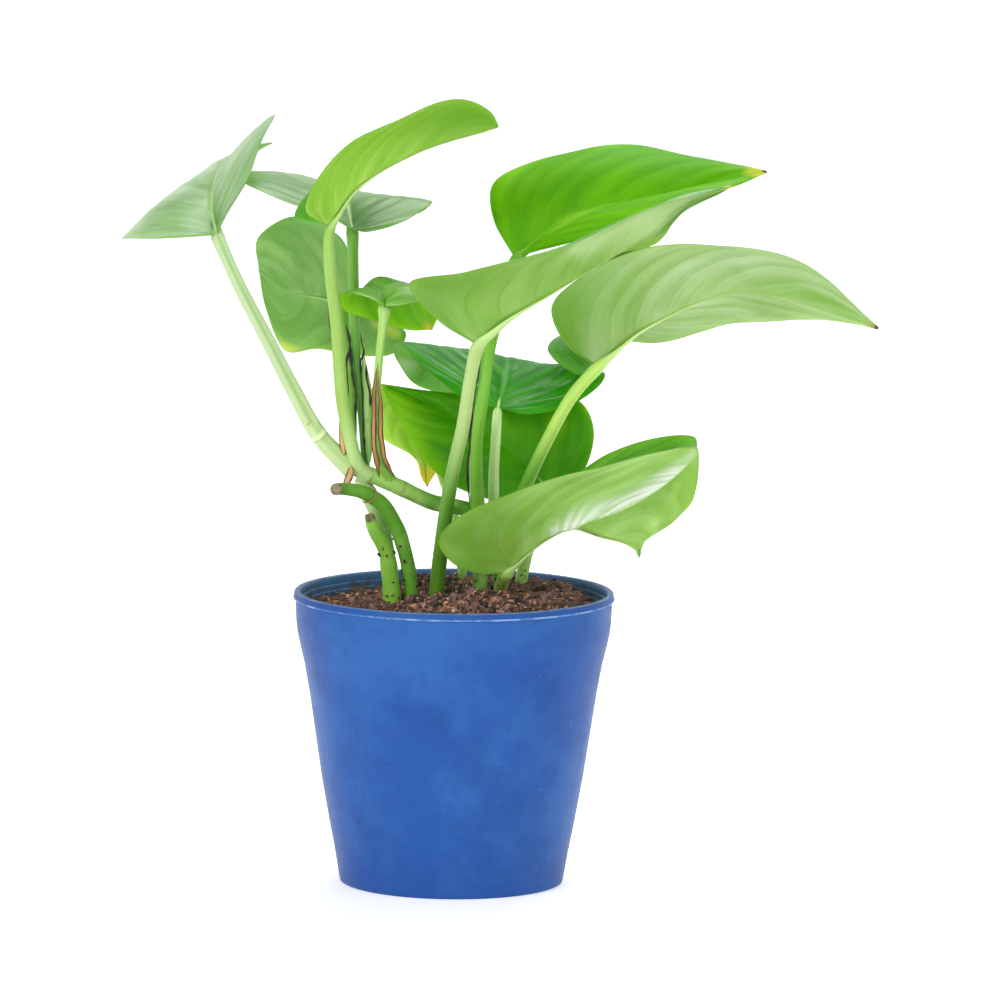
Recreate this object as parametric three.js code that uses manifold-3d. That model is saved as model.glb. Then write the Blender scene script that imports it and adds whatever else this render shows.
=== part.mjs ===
// A golden pothos in a blue nursery pot. Millimetres, +Z up, the photograph's view looks along +Y.
// The origin is the centre of the pot's flat underside.
import * as THREE from "three";
import { mergeVertices } from "three/addons/utils/BufferGeometryUtils.js";
import Module from "manifold-3d";

const wasm = await Module();
wasm.setup();

// Gap kept between pieces that touch.
const GAP = 0.3;

// Pot: a thin tapered shell with a near upright collar and a rolled lip.
const POT_SIDES = 40;
const POT_WALL = 1.4;
const BASE_RADIUS = 34.9;
const BASE_CORNER = 0.9;
const FLOOR_THICKNESS = 1.8;
const TAPER_TOP = { radius: 46.4, z: 69 };
const COLLAR_BOTTOM = { radius: 48.0, z: 75.5 };
const COLLAR_TOP = { radius: 49.0, z: 87.5 };
const LIP_TOP = { radius: 50.0, z: 91.4 };
// The lip's section from outside to inside, as insets from its radius and drops from its top.
const LIP_SECTION = [[0.3, 2.6], [0, 1.3], [0.7, 0.2], [1.4, 0], [2.6, 0.8]];
const DRAIN_HOLES = 6;
const DRAIN_RADIUS = 3.2;
const DRAIN_SIDES = 12;
const DRAIN_CIRCLE = 22;

// Soil: a low mound right of the middle, a fall towards the left and right walls, and lumps.
const SOIL_SECTORS = 32;
const SOIL_RINGS = 9;
const SOIL_LEVEL = 89.2;
const SOIL_MOUND = { x: 12, y: 6, width: 26, depth: 30, height: 1.5 };
const SOIL_FALL = 3.6;
const LEFT_FALL = [14, 44];
const RIGHT_FALL = [36, 46];
// Each wave of the lumps as its pace along x, its pace along y and its start, in radians.
const LUMP_WAVES = [[0.61, 0.23, 0], [-0.35, 0.71, 0], [0.43, 0, 2.87]];
const LUMP_HEIGHT = 0.35;
const STEM_DEPTH = 12;

// Leaves and stems.
const BLADE_THICKNESS = 0.9;
const BLADE_ROWS = 13;
const HALF_COLUMNS = 4;
const FIRST_ROW = 0.035;
const LAST_ROW = 0.985;
const STEM_SIDES = 8;
const STEM_STEP = 7;
const BASE_CLEARANCE = 0.6;
const SHEATH_THICKNESS = 0.8;
const SHEATH_STEPS = 6;

// Each leaf hangs on three curves from its base, where the petiole joins, to its tip: the midrib and
// the two margins, left and right as seen on its upper side with the tip away. arch says how far the
// middle of each half stands up, and lag how far the side veins lean towards the tip.
const LEAVES = {
  far_left: {
    base: [-73.5, -30, 205],
    tip: [-59, 46, 225.5],
    midrib: [[-75.5, -18, 213], [-72, 22, 225.5]],
    left: [[-81.5, -36, 205], [-94, -30, 203.5], [-103.5, -12, 202.5], [-96, 18, 206], [-76.5, 42, 217.5]],
    right: [[-69, -34, 214.5], [-63.5, -26, 224], [-57, 0, 239.5], [-59.5, 28, 232.5]],
    arch: [5, 2],
  },
  back_left: {
    base: [-32.5, 2, 203.5],
    tip: [-42.5, 70, 211.5],
    midrib: [[-35, 20, 212.5], [-39, 48, 215]],
    left: [[-39.5, -5, 206.5], [-53.5, 0, 211.5], [-66.5, 12, 216], [-63.5, 40, 219.5]],
    right: [[-28, -3, 203.5], [-18, 0, 206.5], [-8, 14, 211], [-17, 42, 211]],
    arch: [2, 2],
  },
  top: {
    base: [-39.5, -20, 206.5],
    tip: [12.5, -8, 237],
    midrib: [[-31, -22, 219], [-12.5, -20, 230]],
    left: [[-50, -10, 208.5], [-42.5, -2, 218], [-21, 6, 231], [0.5, 4, 240.5]],
    right: [[-47, -32, 215], [-34.5, -36, 234], [-17.5, -34, 242], [0.5, -24, 246.5], [9.5, -14, 242.5]],
    arch: [2, 3],
  },
  upper_right: {
    base: [18, 24, 193],
    tip: [96.5, 22, 221],
    midrib: [[35.5, 18, 206.5], [61, 18, 213]],
    left: [[11, 28, 204.5], [11, 34, 215], [25.5, 40, 222.5], [51, 40, 227], [75.5, 32, 224.5]],
    right: [[27, 18, 196.5], [44, 8, 200.5], [66, 6, 205.5], [86, 14, 217]],
    arch: [3, 2],
  },
  centre: {
    base: [6.5, -34, 172.5],
    tip: [85.5, 0, 219],
    midrib: [[29, -30, 188], [63, -14, 204.5]],
    left: [[1.5, -20, 177.5], [13.5, -8, 183], [44, -1, 196], [69, 1, 208.5]],
    right: [[-5, -40, 180], [-14.5, -46, 192.5], [2.5, -54, 196.5], [22.5, -50, 201.5], [44.5, -38, 208.5],
      [66.5, -18, 215.5]],
    arch: [3, 4],
  },
  right: {
    base: [44, 0, 162],
    tip: [131.5, 4, 174],
    midrib: [[60, 12, 173], [87.5, 18, 183.5]],
    left: [[37.5, 6, 159], [28.5, 20, 164.5], [35.5, 32, 168.5], [62, 38, 165.5], [87, 32, 172.5],
      [113, 16, 175.5]],
    right: [[34, -4, 169], [29, -8, 181.5], [39.5, -10, 191.5], [61, -8, 200.5], [88.5, -8, 200.5],
      [110.5, -4, 193]],
    arch: [2, 4],
  },
  middle: {
    base: [13, 6, 148],
    tip: [4, 64, 142.5],
    midrib: [[15, 20, 155.5], [15.5, 38, 160]],
    left: [[4.5, 2, 150], [-9, 7, 158.5], [-17, 18, 167], [-20.5, 36, 161], [-14, 56, 147]],
    right: [[21.5, 2, 146.5], [37.5, 8, 150], [46.5, 20, 155.5], [40.5, 42, 151.5]],
    arch: [2, 2],
  },
  inner: {
    base: [28.5, 22, 121.5],
    tip: [-24, 36, 151.5],
    midrib: [[17, 26, 132], [-5, 32, 144]],
    left: [[20.5, 20, 116], [3.5, 22, 119.5], [-8, 26, 126.5], [-18, 32, 140]],
    right: [[39, 22, 123.5], [43, 24, 139.5], [35.5, 28, 147.5], [13.5, 32, 148], [-11.5, 34, 150]],
    arch: [2, 2],
  },
  low_right: {
    base: [16, -12, 98.5],
    tip: [57.5, -4, 102.5],
    midrib: [[28, -16, 109.5], [37.5, -15, 114.5], [49, -8, 110]],
    left: [[5, -9, 103.5], [6.5, -7, 114], [18.5, -5, 119.5], [32.5, -4, 126.5], [48, -2, 135.5],
      [62, 2, 140], [74, 0, 140.5], [73, 10, 127], [66.5, 10, 114.5]],
    right: [[7.5, -16, 99], [-1, -21, 103.5], [-5, -25, 110.5], [0, -30, 118], [19, -36, 127],
      [38, -36, 134.5], [57, -28, 138.5], [74, -14, 141], [75.5, -3, 131.5], [71, 0, 117], [60.5, -2, 109.5]],
    arch: [0, 3],
    lag: 1.1,
  },
  small: {
    base: [-22, -14, 181.5],
    tip: [-7.5, 7, 172],
    midrib: [[-22.5, -8, 187.5], [-23, 0, 190], [-16, 7, 184]],
    left: [[-26.5, -18, 184.5], [-32.5, -14, 185.5], [-36, -9, 184], [-34.5, -4, 179], [-25, 2, 175],
      [-15, 6, 172]],
    right: [[-18.5, -17, 180.5], [-13, -14, 182], [-7, -8, 181.5], [-6, 0, 177]],
    arch: [1, 1],
  },
  left_back: {
    base: [-35, 28, 178],
    tip: [-63, 57, 184.5],
    midrib: [[-43, 36, 178.5], [-54.5, 48, 179.5]],
    left: [[-33, 24, 187], [-37, 24, 199], [-51, 34, 204], [-61.5, 47, 197.5], [-64, 53, 191.5]],
    right: [[-25.5, 30, 172.5], [-16, 38, 167.5], [-21, 43, 159.5], [-43, 44, 161.5], [-54.5, 48, 159],
      [-60, 54, 172.5]],
    arch: [2, 2],
  },
  yellow_tip: {
    base: [-16.5, 52, 147],
    tip: [-9, 47, 117.5],
    midrib: [[-14.5, 49, 138.5], [-10.5, 47, 126]],
    left: [[-2, 52, 144.5], [2, 50, 135.5], [-3.5, 48, 125.5]],
    right: [[-26, 48, 149.5], [-27.5, 46, 143.5], [-23, 44, 133.5], [-14, 45, 127]],
    arch: [1, 1],
  },
};

// Stems and petioles: the points that each runs through, and its radius at the first and last point.
const MAIN_VINE = {
  path: [[8, 6, 89], [8, 5, 103.5], [7, 4, 115], [-7.5, 1, 119.5], [-17.5, -1, 124.5], [-31.5, -3, 130]],
  radii: [2.4, 2.2],
  planted: true,
};
const SIDE_VINE = {
  path: [[-13, 0, 89], [-14.5, -1, 98], [-16.5, -2, 106.5], [-19.5, -4, 115.5], [-25, -7, 122.5],
    [-36.5, -12, 124.5]],
  radii: [2.1, 1.7],
  planted: true,
};
const STUB = {
  path: [[-18.5, -2, 89], [-20, -3, 97], [-22, -5, 106], [-26, -6, 114.5]],
  radii: [2.4, 2.3],
  planted: true,
};
const PETIOLES = {
  far_left: {
    path: [[-31.5, -3, 129], [-41.5, -8, 140], [-49, -13, 155], [-57.5, -19, 172.5], [-66, -25, 189],
      [-73.5, -30, 205]],
    radii: [2.8, 1.8],
  },
  back_left: {
    path: [[-28, -1, 128], [-29.5, 2, 150], [-31, 6, 170], [-32.5, 7, 186], [-32.5, 2, 203.5]],
    radii: [1.9, 1.7],
  },
  top: {
    path: [[-30.5, -6, 130], [-35, -10, 152], [-37, -16, 177.5], [-39, -20, 194], [-39.5, -20, 206.5]],
    radii: [2.2, 1.8],
  },
  upper_right: {
    path: [[7, 3, 116], [6.5, -3, 138.5], [8.5, -5, 153.5], [10.5, -1, 168.5], [14.5, 9, 181.5],
      [18, 24, 193]],
    radii: [2.2, 1.6],
  },
  centre: {
    path: [[-5.5, 1, 89], [-3, -12, 115], [-0.5, -19, 131.5], [2.5, -24, 146.5], [4.5, -30, 161.5],
      [6.5, -34, 172.5]],
    radii: [2.3, 1.9],
    planted: true,
  },
  right: {
    path: [[13.5, 11, 89], [16.5, 8, 108], [21.5, 3, 123], [28.5, 2, 138.5], [36, 1, 152.5], [44, 0, 162]],
    radii: [2.1, 1.9],
    planted: true,
  },
  middle: {
    path: [[10.2, 7.8, 107], [11.6, 8.4, 113], [12, 8, 118], [12, 5, 128.5], [12.5, 3, 138.5], [13, 6, 148]],
    radii: [1.8, 1.5],
  },
  inner: {
    path: [[20.5, 20, 89], [23, 22, 101.5], [28.2, 24.0, 121]],
    radii: [2.0, 1.7],
    planted: true,
  },
  low_right: {
    path: [[14.5, 2, 89], [14.5, -2, 93], [16, -12, 98.5]],
    radii: [2.2, 2.0],
    planted: true,
  },
  small: {
    path: [[-21.5, -3, 127], [-23.5, -8, 139.5], [-24.5, -10, 152], [-23.5, -12, 168], [-22, -14, 181.5]],
    radii: [1.8, 1.4],
  },
  left_back: {
    path: [[-32, 1.2, 129.5], [-32, 6.5, 143.5], [-33, 14, 158.5], [-35, 24, 173.5], [-35, 28, 178]],
    radii: [1.3, 1.2],
  },
  yellow_tip: {
    path: [[2.5, 36, 89], [0, 44, 107.5], [-6.5, 55, 125], [-13, 58.5, 141.5], [-16.2, 53, 146.6]],
    radii: [1.6, 1.2],
    planted: true,
  },
};

// Dried sheaths: flat strips beside the petioles, with the width of each.
const SHEATHS = {
  small_left: {
    path: [[-24, -14.2, 163.5], [-25.5, -12.8, 152], [-25.5, -11.5, 139.5], [-23.5, -8, 129.5]],
    width: 2.2,
  },
  small_right: {
    path: [[-22.8, -13.2, 151], [-21.5, -11.5, 141.5], [-19.5, -7.8, 131], [-18.5, -5, 128]],
    width: 2.2,
  },
};

const MATERIALS = {
  pot: { color: 0x3d6fbe, roughness: 0.4 },
  soil: { color: 0x3b2a1e, roughness: 1.0 },
  leaf: { color: 0x55a02c, roughness: 0.45 },
  petiole: { color: 0xa6cc74, roughness: 0.5 },
  vine: { color: 0x5c9c3c, roughness: 0.55 },
  sheath: { color: 0x8d6b3c, roughness: 0.8 },
};

// Turns a closed three.js geometry into a solid.
function solidOf(geometry) {
  const bare = geometry.clone();
  bare.deleteAttribute("normal");
  bare.deleteAttribute("uv");
  const merged = mergeVertices(bare, 1e-4);
  const vertProperties = merged.attributes.position.array;
  const triVerts = new Uint32Array(merged.index.array);
  return new wasm.Manifold(new wasm.Mesh({ numProp: 3, vertProperties, triVerts }));
}

// Turns a solid back into a three.js geometry.
function geometryOf(solid) {
  const mesh = solid.getMesh();
  const geometry = new THREE.BufferGeometry();
  geometry.setAttribute("position", new THREE.BufferAttribute(mesh.vertProperties, 3));
  geometry.setIndex(new THREE.BufferAttribute(mesh.triVerts, 1));
  geometry.computeVertexNormals();
  return geometry;
}

// The largest of the bodies that a cut leaves.
function largestBody(solid) {
  return solid.decompose().sort((a, b) => b.volume() - a.volume())[0];
}

function curveThrough(points) {
  const vectors = points.map((p) => new THREE.Vector3(...p));
  return new THREE.CatmullRomCurve3(vectors, false, "centripetal");
}

// A closed geometry from rings of points, with a flat fan over the first and the last ring.
function ringsGeometry(rings) {
  const count = rings[0].length;
  const positions = [];
  const index = [];
  rings.flat().forEach((p) => positions.push(p.x, p.y, p.z));
  for (let i = 0; i + 1 < rings.length; i++) {
    for (let j = 0; j < count; j++) {
      const a = i * count + j;
      const b = i * count + ((j + 1) % count);
      index.push(a, b, b + count, a, b + count, a + count);
    }
  }
  const last = (rings.length - 1) * count;
  for (let j = 1; j + 1 < count; j++) {
    index.push(0, j + 1, j, last, last + j, last + j + 1);
  }
  const geometry = new THREE.BufferGeometry();
  geometry.setAttribute("position", new THREE.Float32BufferAttribute(positions, 3));
  geometry.setIndex(index);
  return geometry;
}

// A round stem along a curve, thinning evenly from its first radius to its last. A planted one goes on
// down into the soil, and short is the length left off at its top. grow makes it larger all round, for
// the hole that it stands in.
function stemGeometry({ path, radii, planted, short = 0 }, grow = 0) {
  const root = new THREE.Vector3(...path[0]);
  const buried = [root.x, root.y, root.z - STEM_DEPTH];
  const curve = curveThrough(planted ? [buried, ...path] : path);
  const steps = Math.max(3, Math.round(curve.getLength() / STEM_STEP));
  const reach = 1 - short / curve.getLength();
  const frames = curve.computeFrenetFrames(steps, false);
  const rings = [];
  for (let i = 0; i <= steps; i++) {
    const end = i === 0 ? -1 : i === steps ? 1 : 0;
    const centre = curve.getPointAt((reach * i) / steps).addScaledVector(frames.tangents[i], grow * end);
    const radius = THREE.MathUtils.lerp(radii[0], radii[1], i / steps) + grow;
    const ring = [];
    for (let j = 0; j < STEM_SIDES; j++) {
      const angle = (2 * Math.PI * j) / STEM_SIDES;
      ring.push(centre.clone()
        .addScaledVector(frames.normals[i], radius * Math.cos(angle))
        .addScaledVector(frames.binormals[i], radius * Math.sin(angle)));
    }
    rings.push(ring);
  }
  return ringsGeometry(rings);
}

// The points of a leaf's middle surface, in rows from base to tip and columns from left to right.
function bladeSurface({ base, tip, midrib, left, right, arch, lag = 1.5 }) {
  const rib = curveThrough([base, ...midrib, tip]);
  const margins = [curveThrough([base, ...left, tip]), curveThrough([base, ...right, tip])];
  const rows = [];
  for (let i = 0; i <= BLADE_ROWS; i++) {
    const t = THREE.MathUtils.lerp(FIRST_ROW, LAST_ROW, i / BLADE_ROWS);
    const centre = rib.getPointAt(t ** lag);
    const along = rib.getTangentAt(t ** lag);
    const row = [];
    for (let j = -HALF_COLUMNS; j <= HALF_COLUMNS; j++) {
      const side = j < 0 ? 0 : 1;
      const across = margins[side].getPointAt(t).sub(centre);
      const up = side ? across.clone().cross(along) : along.clone().cross(across);
      const v = Math.abs(j) / HALF_COLUMNS;
      const lift = arch[side] * 4 * v * (1 - v) * Math.sin(Math.PI * t);
      row.push(centre.clone().addScaledVector(across, v).addScaledVector(up.normalize(), lift));
    }
    rows.push(row);
  }
  return rows;
}

// Moves the outer points of a grid of points away from their inner neighbours.
function widened(rows, distance) {
  const away = (point, inner) => point.clone().sub(inner).setLength(distance);
  const last = rows.length - 1;
  const end = rows[0].length - 1;
  rows[0].forEach((point, j) => point.add(away(point, rows[1][j])));
  rows[last].forEach((point, j) => point.add(away(point, rows[last - 1][j])));
  rows.forEach((row) => {
    row[0].add(away(row[0], row[1]));
    row[end].add(away(row[end], row[end - 1]));
  });
  return rows;
}

// A leaf blade: its surface given an even thickness along its normals, split alike on both faces.
// grow makes it larger all round, for cutting back what meets it.
function bladeGeometry(leaf, grow = 0) {
  const thickness = BLADE_THICKNESS + 2 * grow;
  const rows = widened(bladeSurface(leaf), grow);
  const columns = rows[0].length;
  const faces = [[], []];
  rows.forEach((row, i) => {
    row.forEach((point, j) => {
      const ahead = rows[Math.min(i + 1, rows.length - 1)][j];
      const behind = rows[Math.max(i - 1, 0)][j];
      const rightward = row[Math.min(j + 1, columns - 1)].clone().sub(row[Math.max(j - 1, 0)]);
      const normal = rightward.cross(ahead.clone().sub(behind)).normalize();
      faces[0].push(point.clone().addScaledVector(normal, thickness / 2));
      faces[1].push(point.clone().addScaledVector(normal, -thickness / 2));
    });
  });
  const size = faces[0].length;
  const index = [];
  for (let i = 0; i + 1 < rows.length; i++) {
    for (let j = 0; j + 1 < columns; j++) {
      const a = i * columns + j;
      const c = a + columns;
      index.push(a, a + 1, c + 1, a, c + 1, c);
      index.push(size + a, size + c + 1, size + a + 1, size + a, size + c, size + c + 1);
    }
  }
  const rim = [];
  for (let j = 0; j < columns; j++) rim.push(j);
  for (let i = 1; i < rows.length; i++) rim.push(i * columns + columns - 1);
  for (let j = columns - 2; j >= 0; j--) rim.push((rows.length - 1) * columns + j);
  for (let i = rows.length - 2; i > 0; i--) rim.push(i * columns);
  rim.forEach((a, k) => {
    const b = rim[(k + 1) % rim.length];
    index.push(a, size + a, size + b, a, size + b, b);
  });
  const geometry = new THREE.BufferGeometry();
  const positions = faces.flat().flatMap((p) => [p.x, p.y, p.z]);
  geometry.setAttribute("position", new THREE.Float32BufferAttribute(positions, 3));
  geometry.setIndex(index);
  return geometry;
}

// A dried sheath: a flat strip carried along its path.
function sheathGeometry({ path, width }) {
  const section = new THREE.Shape();
  section.moveTo(-SHEATH_THICKNESS / 2, -width / 2);
  section.lineTo(SHEATH_THICKNESS / 2, -width / 2);
  section.lineTo(SHEATH_THICKNESS / 2, width / 2);
  section.lineTo(-SHEATH_THICKNESS / 2, width / 2);
  section.closePath();
  return new THREE.ExtrudeGeometry(section, { extrudePath: curveThrough(path), steps: SHEATH_STEPS });
}

// The pot: one turned profile, up the outside, over the rolled lip and down the inside, with round
// drain holes through the floor.
function potSolid() {
  const inside = ({ radius, z }) => new THREE.Vector2(radius - POT_WALL, z);
  const outside = ({ radius, z }) => new THREE.Vector2(radius, z);
  const lip = LIP_SECTION.map(([inset, drop]) => new THREE.Vector2(LIP_TOP.radius - inset, LIP_TOP.z - drop));
  const profile = [
    new THREE.Vector2(0, 0),
    new THREE.Vector2(BASE_RADIUS - BASE_CORNER, 0),
    new THREE.Vector2(BASE_RADIUS, BASE_CORNER),
    outside(TAPER_TOP),
    outside(COLLAR_BOTTOM),
    outside(COLLAR_TOP),
    ...lip,
    inside(COLLAR_TOP),
    inside(COLLAR_BOTTOM),
    inside(TAPER_TOP),
    new THREE.Vector2(BASE_RADIUS - POT_WALL, FLOOR_THICKNESS),
    new THREE.Vector2(0, FLOOR_THICKNESS),
  ];
  const turned = new THREE.LatheGeometry(profile, POT_SIDES);
  turned.rotateX(Math.PI / 2);
  let pot = solidOf(turned);
  for (let k = 0; k < DRAIN_HOLES; k++) {
    const angle = (2 * Math.PI * k) / DRAIN_HOLES;
    const hole = new THREE.CylinderGeometry(DRAIN_RADIUS, DRAIN_RADIUS, 4 * FLOOR_THICKNESS, DRAIN_SIDES);
    hole.rotateX(Math.PI / 2);
    hole.translate(DRAIN_CIRCLE * Math.cos(angle), DRAIN_CIRCLE * Math.sin(angle), 0);
    pot = pot.subtract(solidOf(hole));
  }
  return pot;
}

// Height of the soil at a point: a round mound, a smooth fall towards the left and right walls, and
// lumps where crossed waves meet.
function soilHeight(x, y) {
  const { width, depth, height } = SOIL_MOUND;
  const mound = height * Math.exp(-(((x - SOIL_MOUND.x) / width) ** 2) - ((y - SOIL_MOUND.y) / depth) ** 2);
  const leftFall = SOIL_FALL * THREE.MathUtils.smoothstep(-x, ...LEFT_FALL);
  const rightFall = SOIL_FALL * THREE.MathUtils.smoothstep(x, ...RIGHT_FALL);
  const [first, second, third] = LUMP_WAVES.map(([u, v, start]) => Math.sin(u * x + v * y + start));
  const lumps = LUMP_HEIGHT * (first + second * third);
  return SOIL_LEVEL + mound - leftFall - rightFall + lumps;
}

// Inner radius of the pot at a height, less the gap.
function soilRadius(z) {
  const outer = [{ radius: BASE_RADIUS, z: FLOOR_THICKNESS }, TAPER_TOP, COLLAR_BOTTOM, COLLAR_TOP];
  const k = Math.max(1, outer.findIndex((p) => p.z >= z));
  const [low, high] = [outer[k - 1], outer[k]];
  const share = THREE.MathUtils.clamp((z - low.z) / (high.z - low.z), 0, 1);
  return THREE.MathUtils.lerp(low.radius, high.radius, share) - POT_WALL - 2 * GAP;
}

// The soil: a plug that fills the pot, with the lumpy mound on top.
function soilGeometry() {
  const ringOf = (radius, height) => {
    const ring = [];
    for (let j = 0; j < SOIL_SECTORS; j++) {
      const angle = (2 * Math.PI * (j + 0.5)) / SOIL_SECTORS;
      const [x, y] = [radius * Math.cos(angle), radius * Math.sin(angle)];
      ring.push(new THREE.Vector3(x, y, height(x, y)));
    }
    return ring;
  };
  const flat = (z) => ringOf(soilRadius(z), () => z);
  const rim = soilRadius(SOIL_LEVEL - SOIL_FALL);
  const rings = [flat(FLOOR_THICKNESS + GAP), flat(TAPER_TOP.z), flat(COLLAR_BOTTOM.z)];
  for (let i = 0; i < SOIL_RINGS; i++) rings.push(ringOf(rim * (1 - i / SOIL_RINGS), soilHeight));
  return ringsGeometry(rings);
}

const part = new THREE.Group();

// A petiole as a stem that ends just short of its leaf's base.
function petioleStem(name) {
  return { ...PETIOLES[name], short: BASE_CLEARANCE };
}

function addPiece(name, geometry, finish) {
  const material = new THREE.MeshStandardMaterial({ metalness: 0, ...MATERIALS[finish] });
  const mesh = new THREE.Mesh(geometry, material);
  mesh.name = name;
  part.add(mesh);
}

function addPotAndSoil() {
  let soil = solidOf(soilGeometry());
  const stems = [MAIN_VINE, SIDE_VINE, STUB, ...Object.keys(PETIOLES).map(petioleStem)];
  stems.filter((stem) => stem.planted).forEach((stem) => {
    soil = soil.subtract(solidOf(stemGeometry(stem, GAP)));
  });
  addPiece("pot", geometryOf(potSolid()), "pot");
  addPiece("soil", geometryOf(soil), "soil");
}

function addVines() {
  addPiece("main_vine", stemGeometry(MAIN_VINE), "vine");
  addPiece("side_vine", stemGeometry(SIDE_VINE), "vine");
  addPiece("cut_stub", stemGeometry(STUB), "vine");
}

// A petiole stops short of its own blade, of the vine that it grows from, and of the petioles before it.
function addLeavesAndPetioles() {
  let taken = solidOf(stemGeometry(MAIN_VINE, GAP));
  Object.entries(LEAVES).forEach(([name, leaf]) => {
    const blade = solidOf(bladeGeometry(leaf, GAP));
    const petiole = solidOf(stemGeometry(petioleStem(name))).subtract(blade).subtract(taken);
    taken = taken.add(solidOf(stemGeometry(petioleStem(name), GAP)));
    addPiece("leaf_" + name, bladeGeometry(leaf), "leaf");
    addPiece("petiole_" + name, geometryOf(largestBody(petiole)), "petiole");
  });
}

function addSheaths() {
  Object.entries(SHEATHS).forEach(([name, sheath]) => {
    addPiece("sheath_" + name, sheathGeometry(sheath), "sheath");
  });
}

addPotAndSoil();
addVines();
addLeavesAndPetioles();
addSheaths();

export default part;
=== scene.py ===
"""A golden pothos in a blue nursery pot, dressed for a photograph-like render.

Metres, +Z up. The photograph's camera looks along +Y, and the origin is the centre of the pot's underside.
"""

import bmesh
import bpy
import numpy as np
from mathutils import Matrix


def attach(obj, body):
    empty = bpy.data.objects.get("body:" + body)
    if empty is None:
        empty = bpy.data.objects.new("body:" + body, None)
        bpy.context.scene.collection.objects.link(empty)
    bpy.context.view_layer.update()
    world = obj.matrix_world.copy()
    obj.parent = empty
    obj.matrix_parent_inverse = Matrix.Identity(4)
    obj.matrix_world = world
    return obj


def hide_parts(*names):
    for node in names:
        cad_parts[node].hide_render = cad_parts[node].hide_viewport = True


# Camera: a long lens in front of the pot, a little above it and turned slightly.
CAMERA_PLACE = (0.014, -2.8, 0.4997)
CAMERA_TARGET = (0.014, 0.0, 0.1199)
CAMERA_ROLL = 0.6
CAMERA_LENS = 327.6
CAMERA_SENSOR = 36.0

# Light: a name, place, size and power for each soft box, all of which face the plant's middle.
SOFTBOXES = [("key", (-1.6, -2.0, 1.5), 1.4, 33), ("front", (0.5, -3.3, 1.3), 1.5, 16),
             ("top", (0.3, 1.0, 2.0), 1.5, 26), ("fill", (1.9, -1.2, 0.9), 1.2, 7)]
LIGHT_TARGET = (0, 0, 0.13)
SKY_STRENGTH = 0.5
SKY_COLOUR = (0.95, 0.98, 1.0, 1.0)
FLOOR_GLOW = 0.37
FLOOR_REACH = 3.2
FLOOR_CURVE = 1.6
FLOOR_SEGMENTS = 96

# Pot: outer radius at each height, then the lip and the inside with its two small ledges.
POT_SEGMENTS = 160
PROFILE_STEP = 0.0011
POT_OUTSIDE = [(0.0341, 0.0), (0.0347, 0.0003), (0.03495, 0.0012), (0.0352, 0.0028), (0.0365, 0.0104),
               (0.0380, 0.018), (0.0407, 0.033), (0.0430, 0.0483), (0.0447, 0.0596), (0.0464, 0.069),
               (0.0469, 0.071), (0.0478, 0.0748), (0.0486, 0.0785), (0.0490, 0.082), (0.04915, 0.0855),
               (0.0493, 0.0888)]
POT_LIP = [(0.0496, 0.0888), (0.0499, 0.08895), (0.0500, 0.0892), (0.0499, 0.08945), (0.04975, 0.0897),
           (0.04972, 0.0904), (0.0496, 0.0909), (0.0493, 0.0912), (0.0488, 0.0913), (0.0482, 0.0912),
           (0.0478, 0.0909)]
POT_INSIDE = [(0.0476, 0.0903), (0.0475, 0.0888), (0.0470, 0.0885), (0.0469, 0.0871), (0.0463, 0.0868),
              (0.0462, 0.0852), (0.0457, 0.0849), (0.0455, 0.0800), (0.0440, 0.065), (0.0400, 0.040),
              (0.0350, 0.010), (0.0335, 0.0018)]
DRAIN_HOLES = 6
DRAIN_RADIUS = 0.0032
DRAIN_CIRCLE = 0.022
DRAIN_SIDES = 32
DRAIN_CUT = (-0.004, 0.006)
# Edges that bend by more degrees than this look sharp.
SHARP_ANGLE = 50

# Soil: a low mound right of the middle, a fall towards the left and right walls, and lumps, each kind with
# its height, size, seed and number of waves.
SOIL_RADIUS = 0.0456
SOIL_LEVEL = 0.0888
SOIL_MOUND = {"x": 0.012, "y": 0.006, "width": 0.026, "depth": 0.030, "height": 0.0015}
SOIL_FALL = 0.0038
LEFT_FALL = (0.002, 0.030)
RIGHT_FALL = (0.032, 0.045)
RIGHT_DROP = 1.35
SOIL_LUMPS = [(0.0014, 0.011, 31, 14), (0.0019, 0.0050, 32, 14), (0.0009, 0.0021, 33, 24)]
SOIL_RINGS = 90
SOIL_SEGMENTS = 220
# Below the top: the share of the radius at each height, down to the underside.
SOIL_WALL = [(0.965, 0.065), (0.87, 0.04), (0.76, 0.012), (0.74, 0.0021)]
BURIED = 0.012

# Crumbs: rings and sides of one, then fibres: points along one, and its sides.
CRUMB_RINGS = 6
CRUMB_SIDES = 7
FIBRE_POINTS = 7
FIBRE_SIDES = 4
FIBRE_ENDS = [0.5, 1, 1, 1, 1, 1, 0.4]
FIBRES = 1000
FIBRE_LENGTH = (0.003, 0.010)
FIBRE_THICKNESS = (0.00010, 0.00022)

# Leaves and stems.
BLADE_MESH = (110, 30)
FIRST_ROW = 0.014
LAST_ROW = 0.994
HALF_THICKNESS = 0.00030
VEIN_RELIEF = 0.00030
VEIN_LEAN = 0.46
UNDULATION = 0.0004
UNDULATION_SIZE = 0.022
MARGIN_WAVES = 2.6
RIB_GROOVE = 0.00045
RIB_GROOVE_WIDTH = 0.0008
RIB_REACH = 0.93
RIB_SINK = 0.00022
STEM_STEP = 0.0008
STEM_SIDES = 24
FOOT_SWELL = 0.14
STEM_SMOOTHING = 8
BESIDE_VINE = 0.0015
VINE_DIP = 0.0008
NODE_SWELL = 0.07
NODE_WIDTH = 0.0022
VINE_UNEVEN = 0.035
VINE_UNEVEN_SIZE = 0.011
CUT_RAG = 0.0005
CUT_HOLLOW = 0.0004
END_RINGS = [0.93, 0.86, 0.66, 0.42, 0.2, 0.04]
SHEATH_STEP = 0.0004
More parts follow.
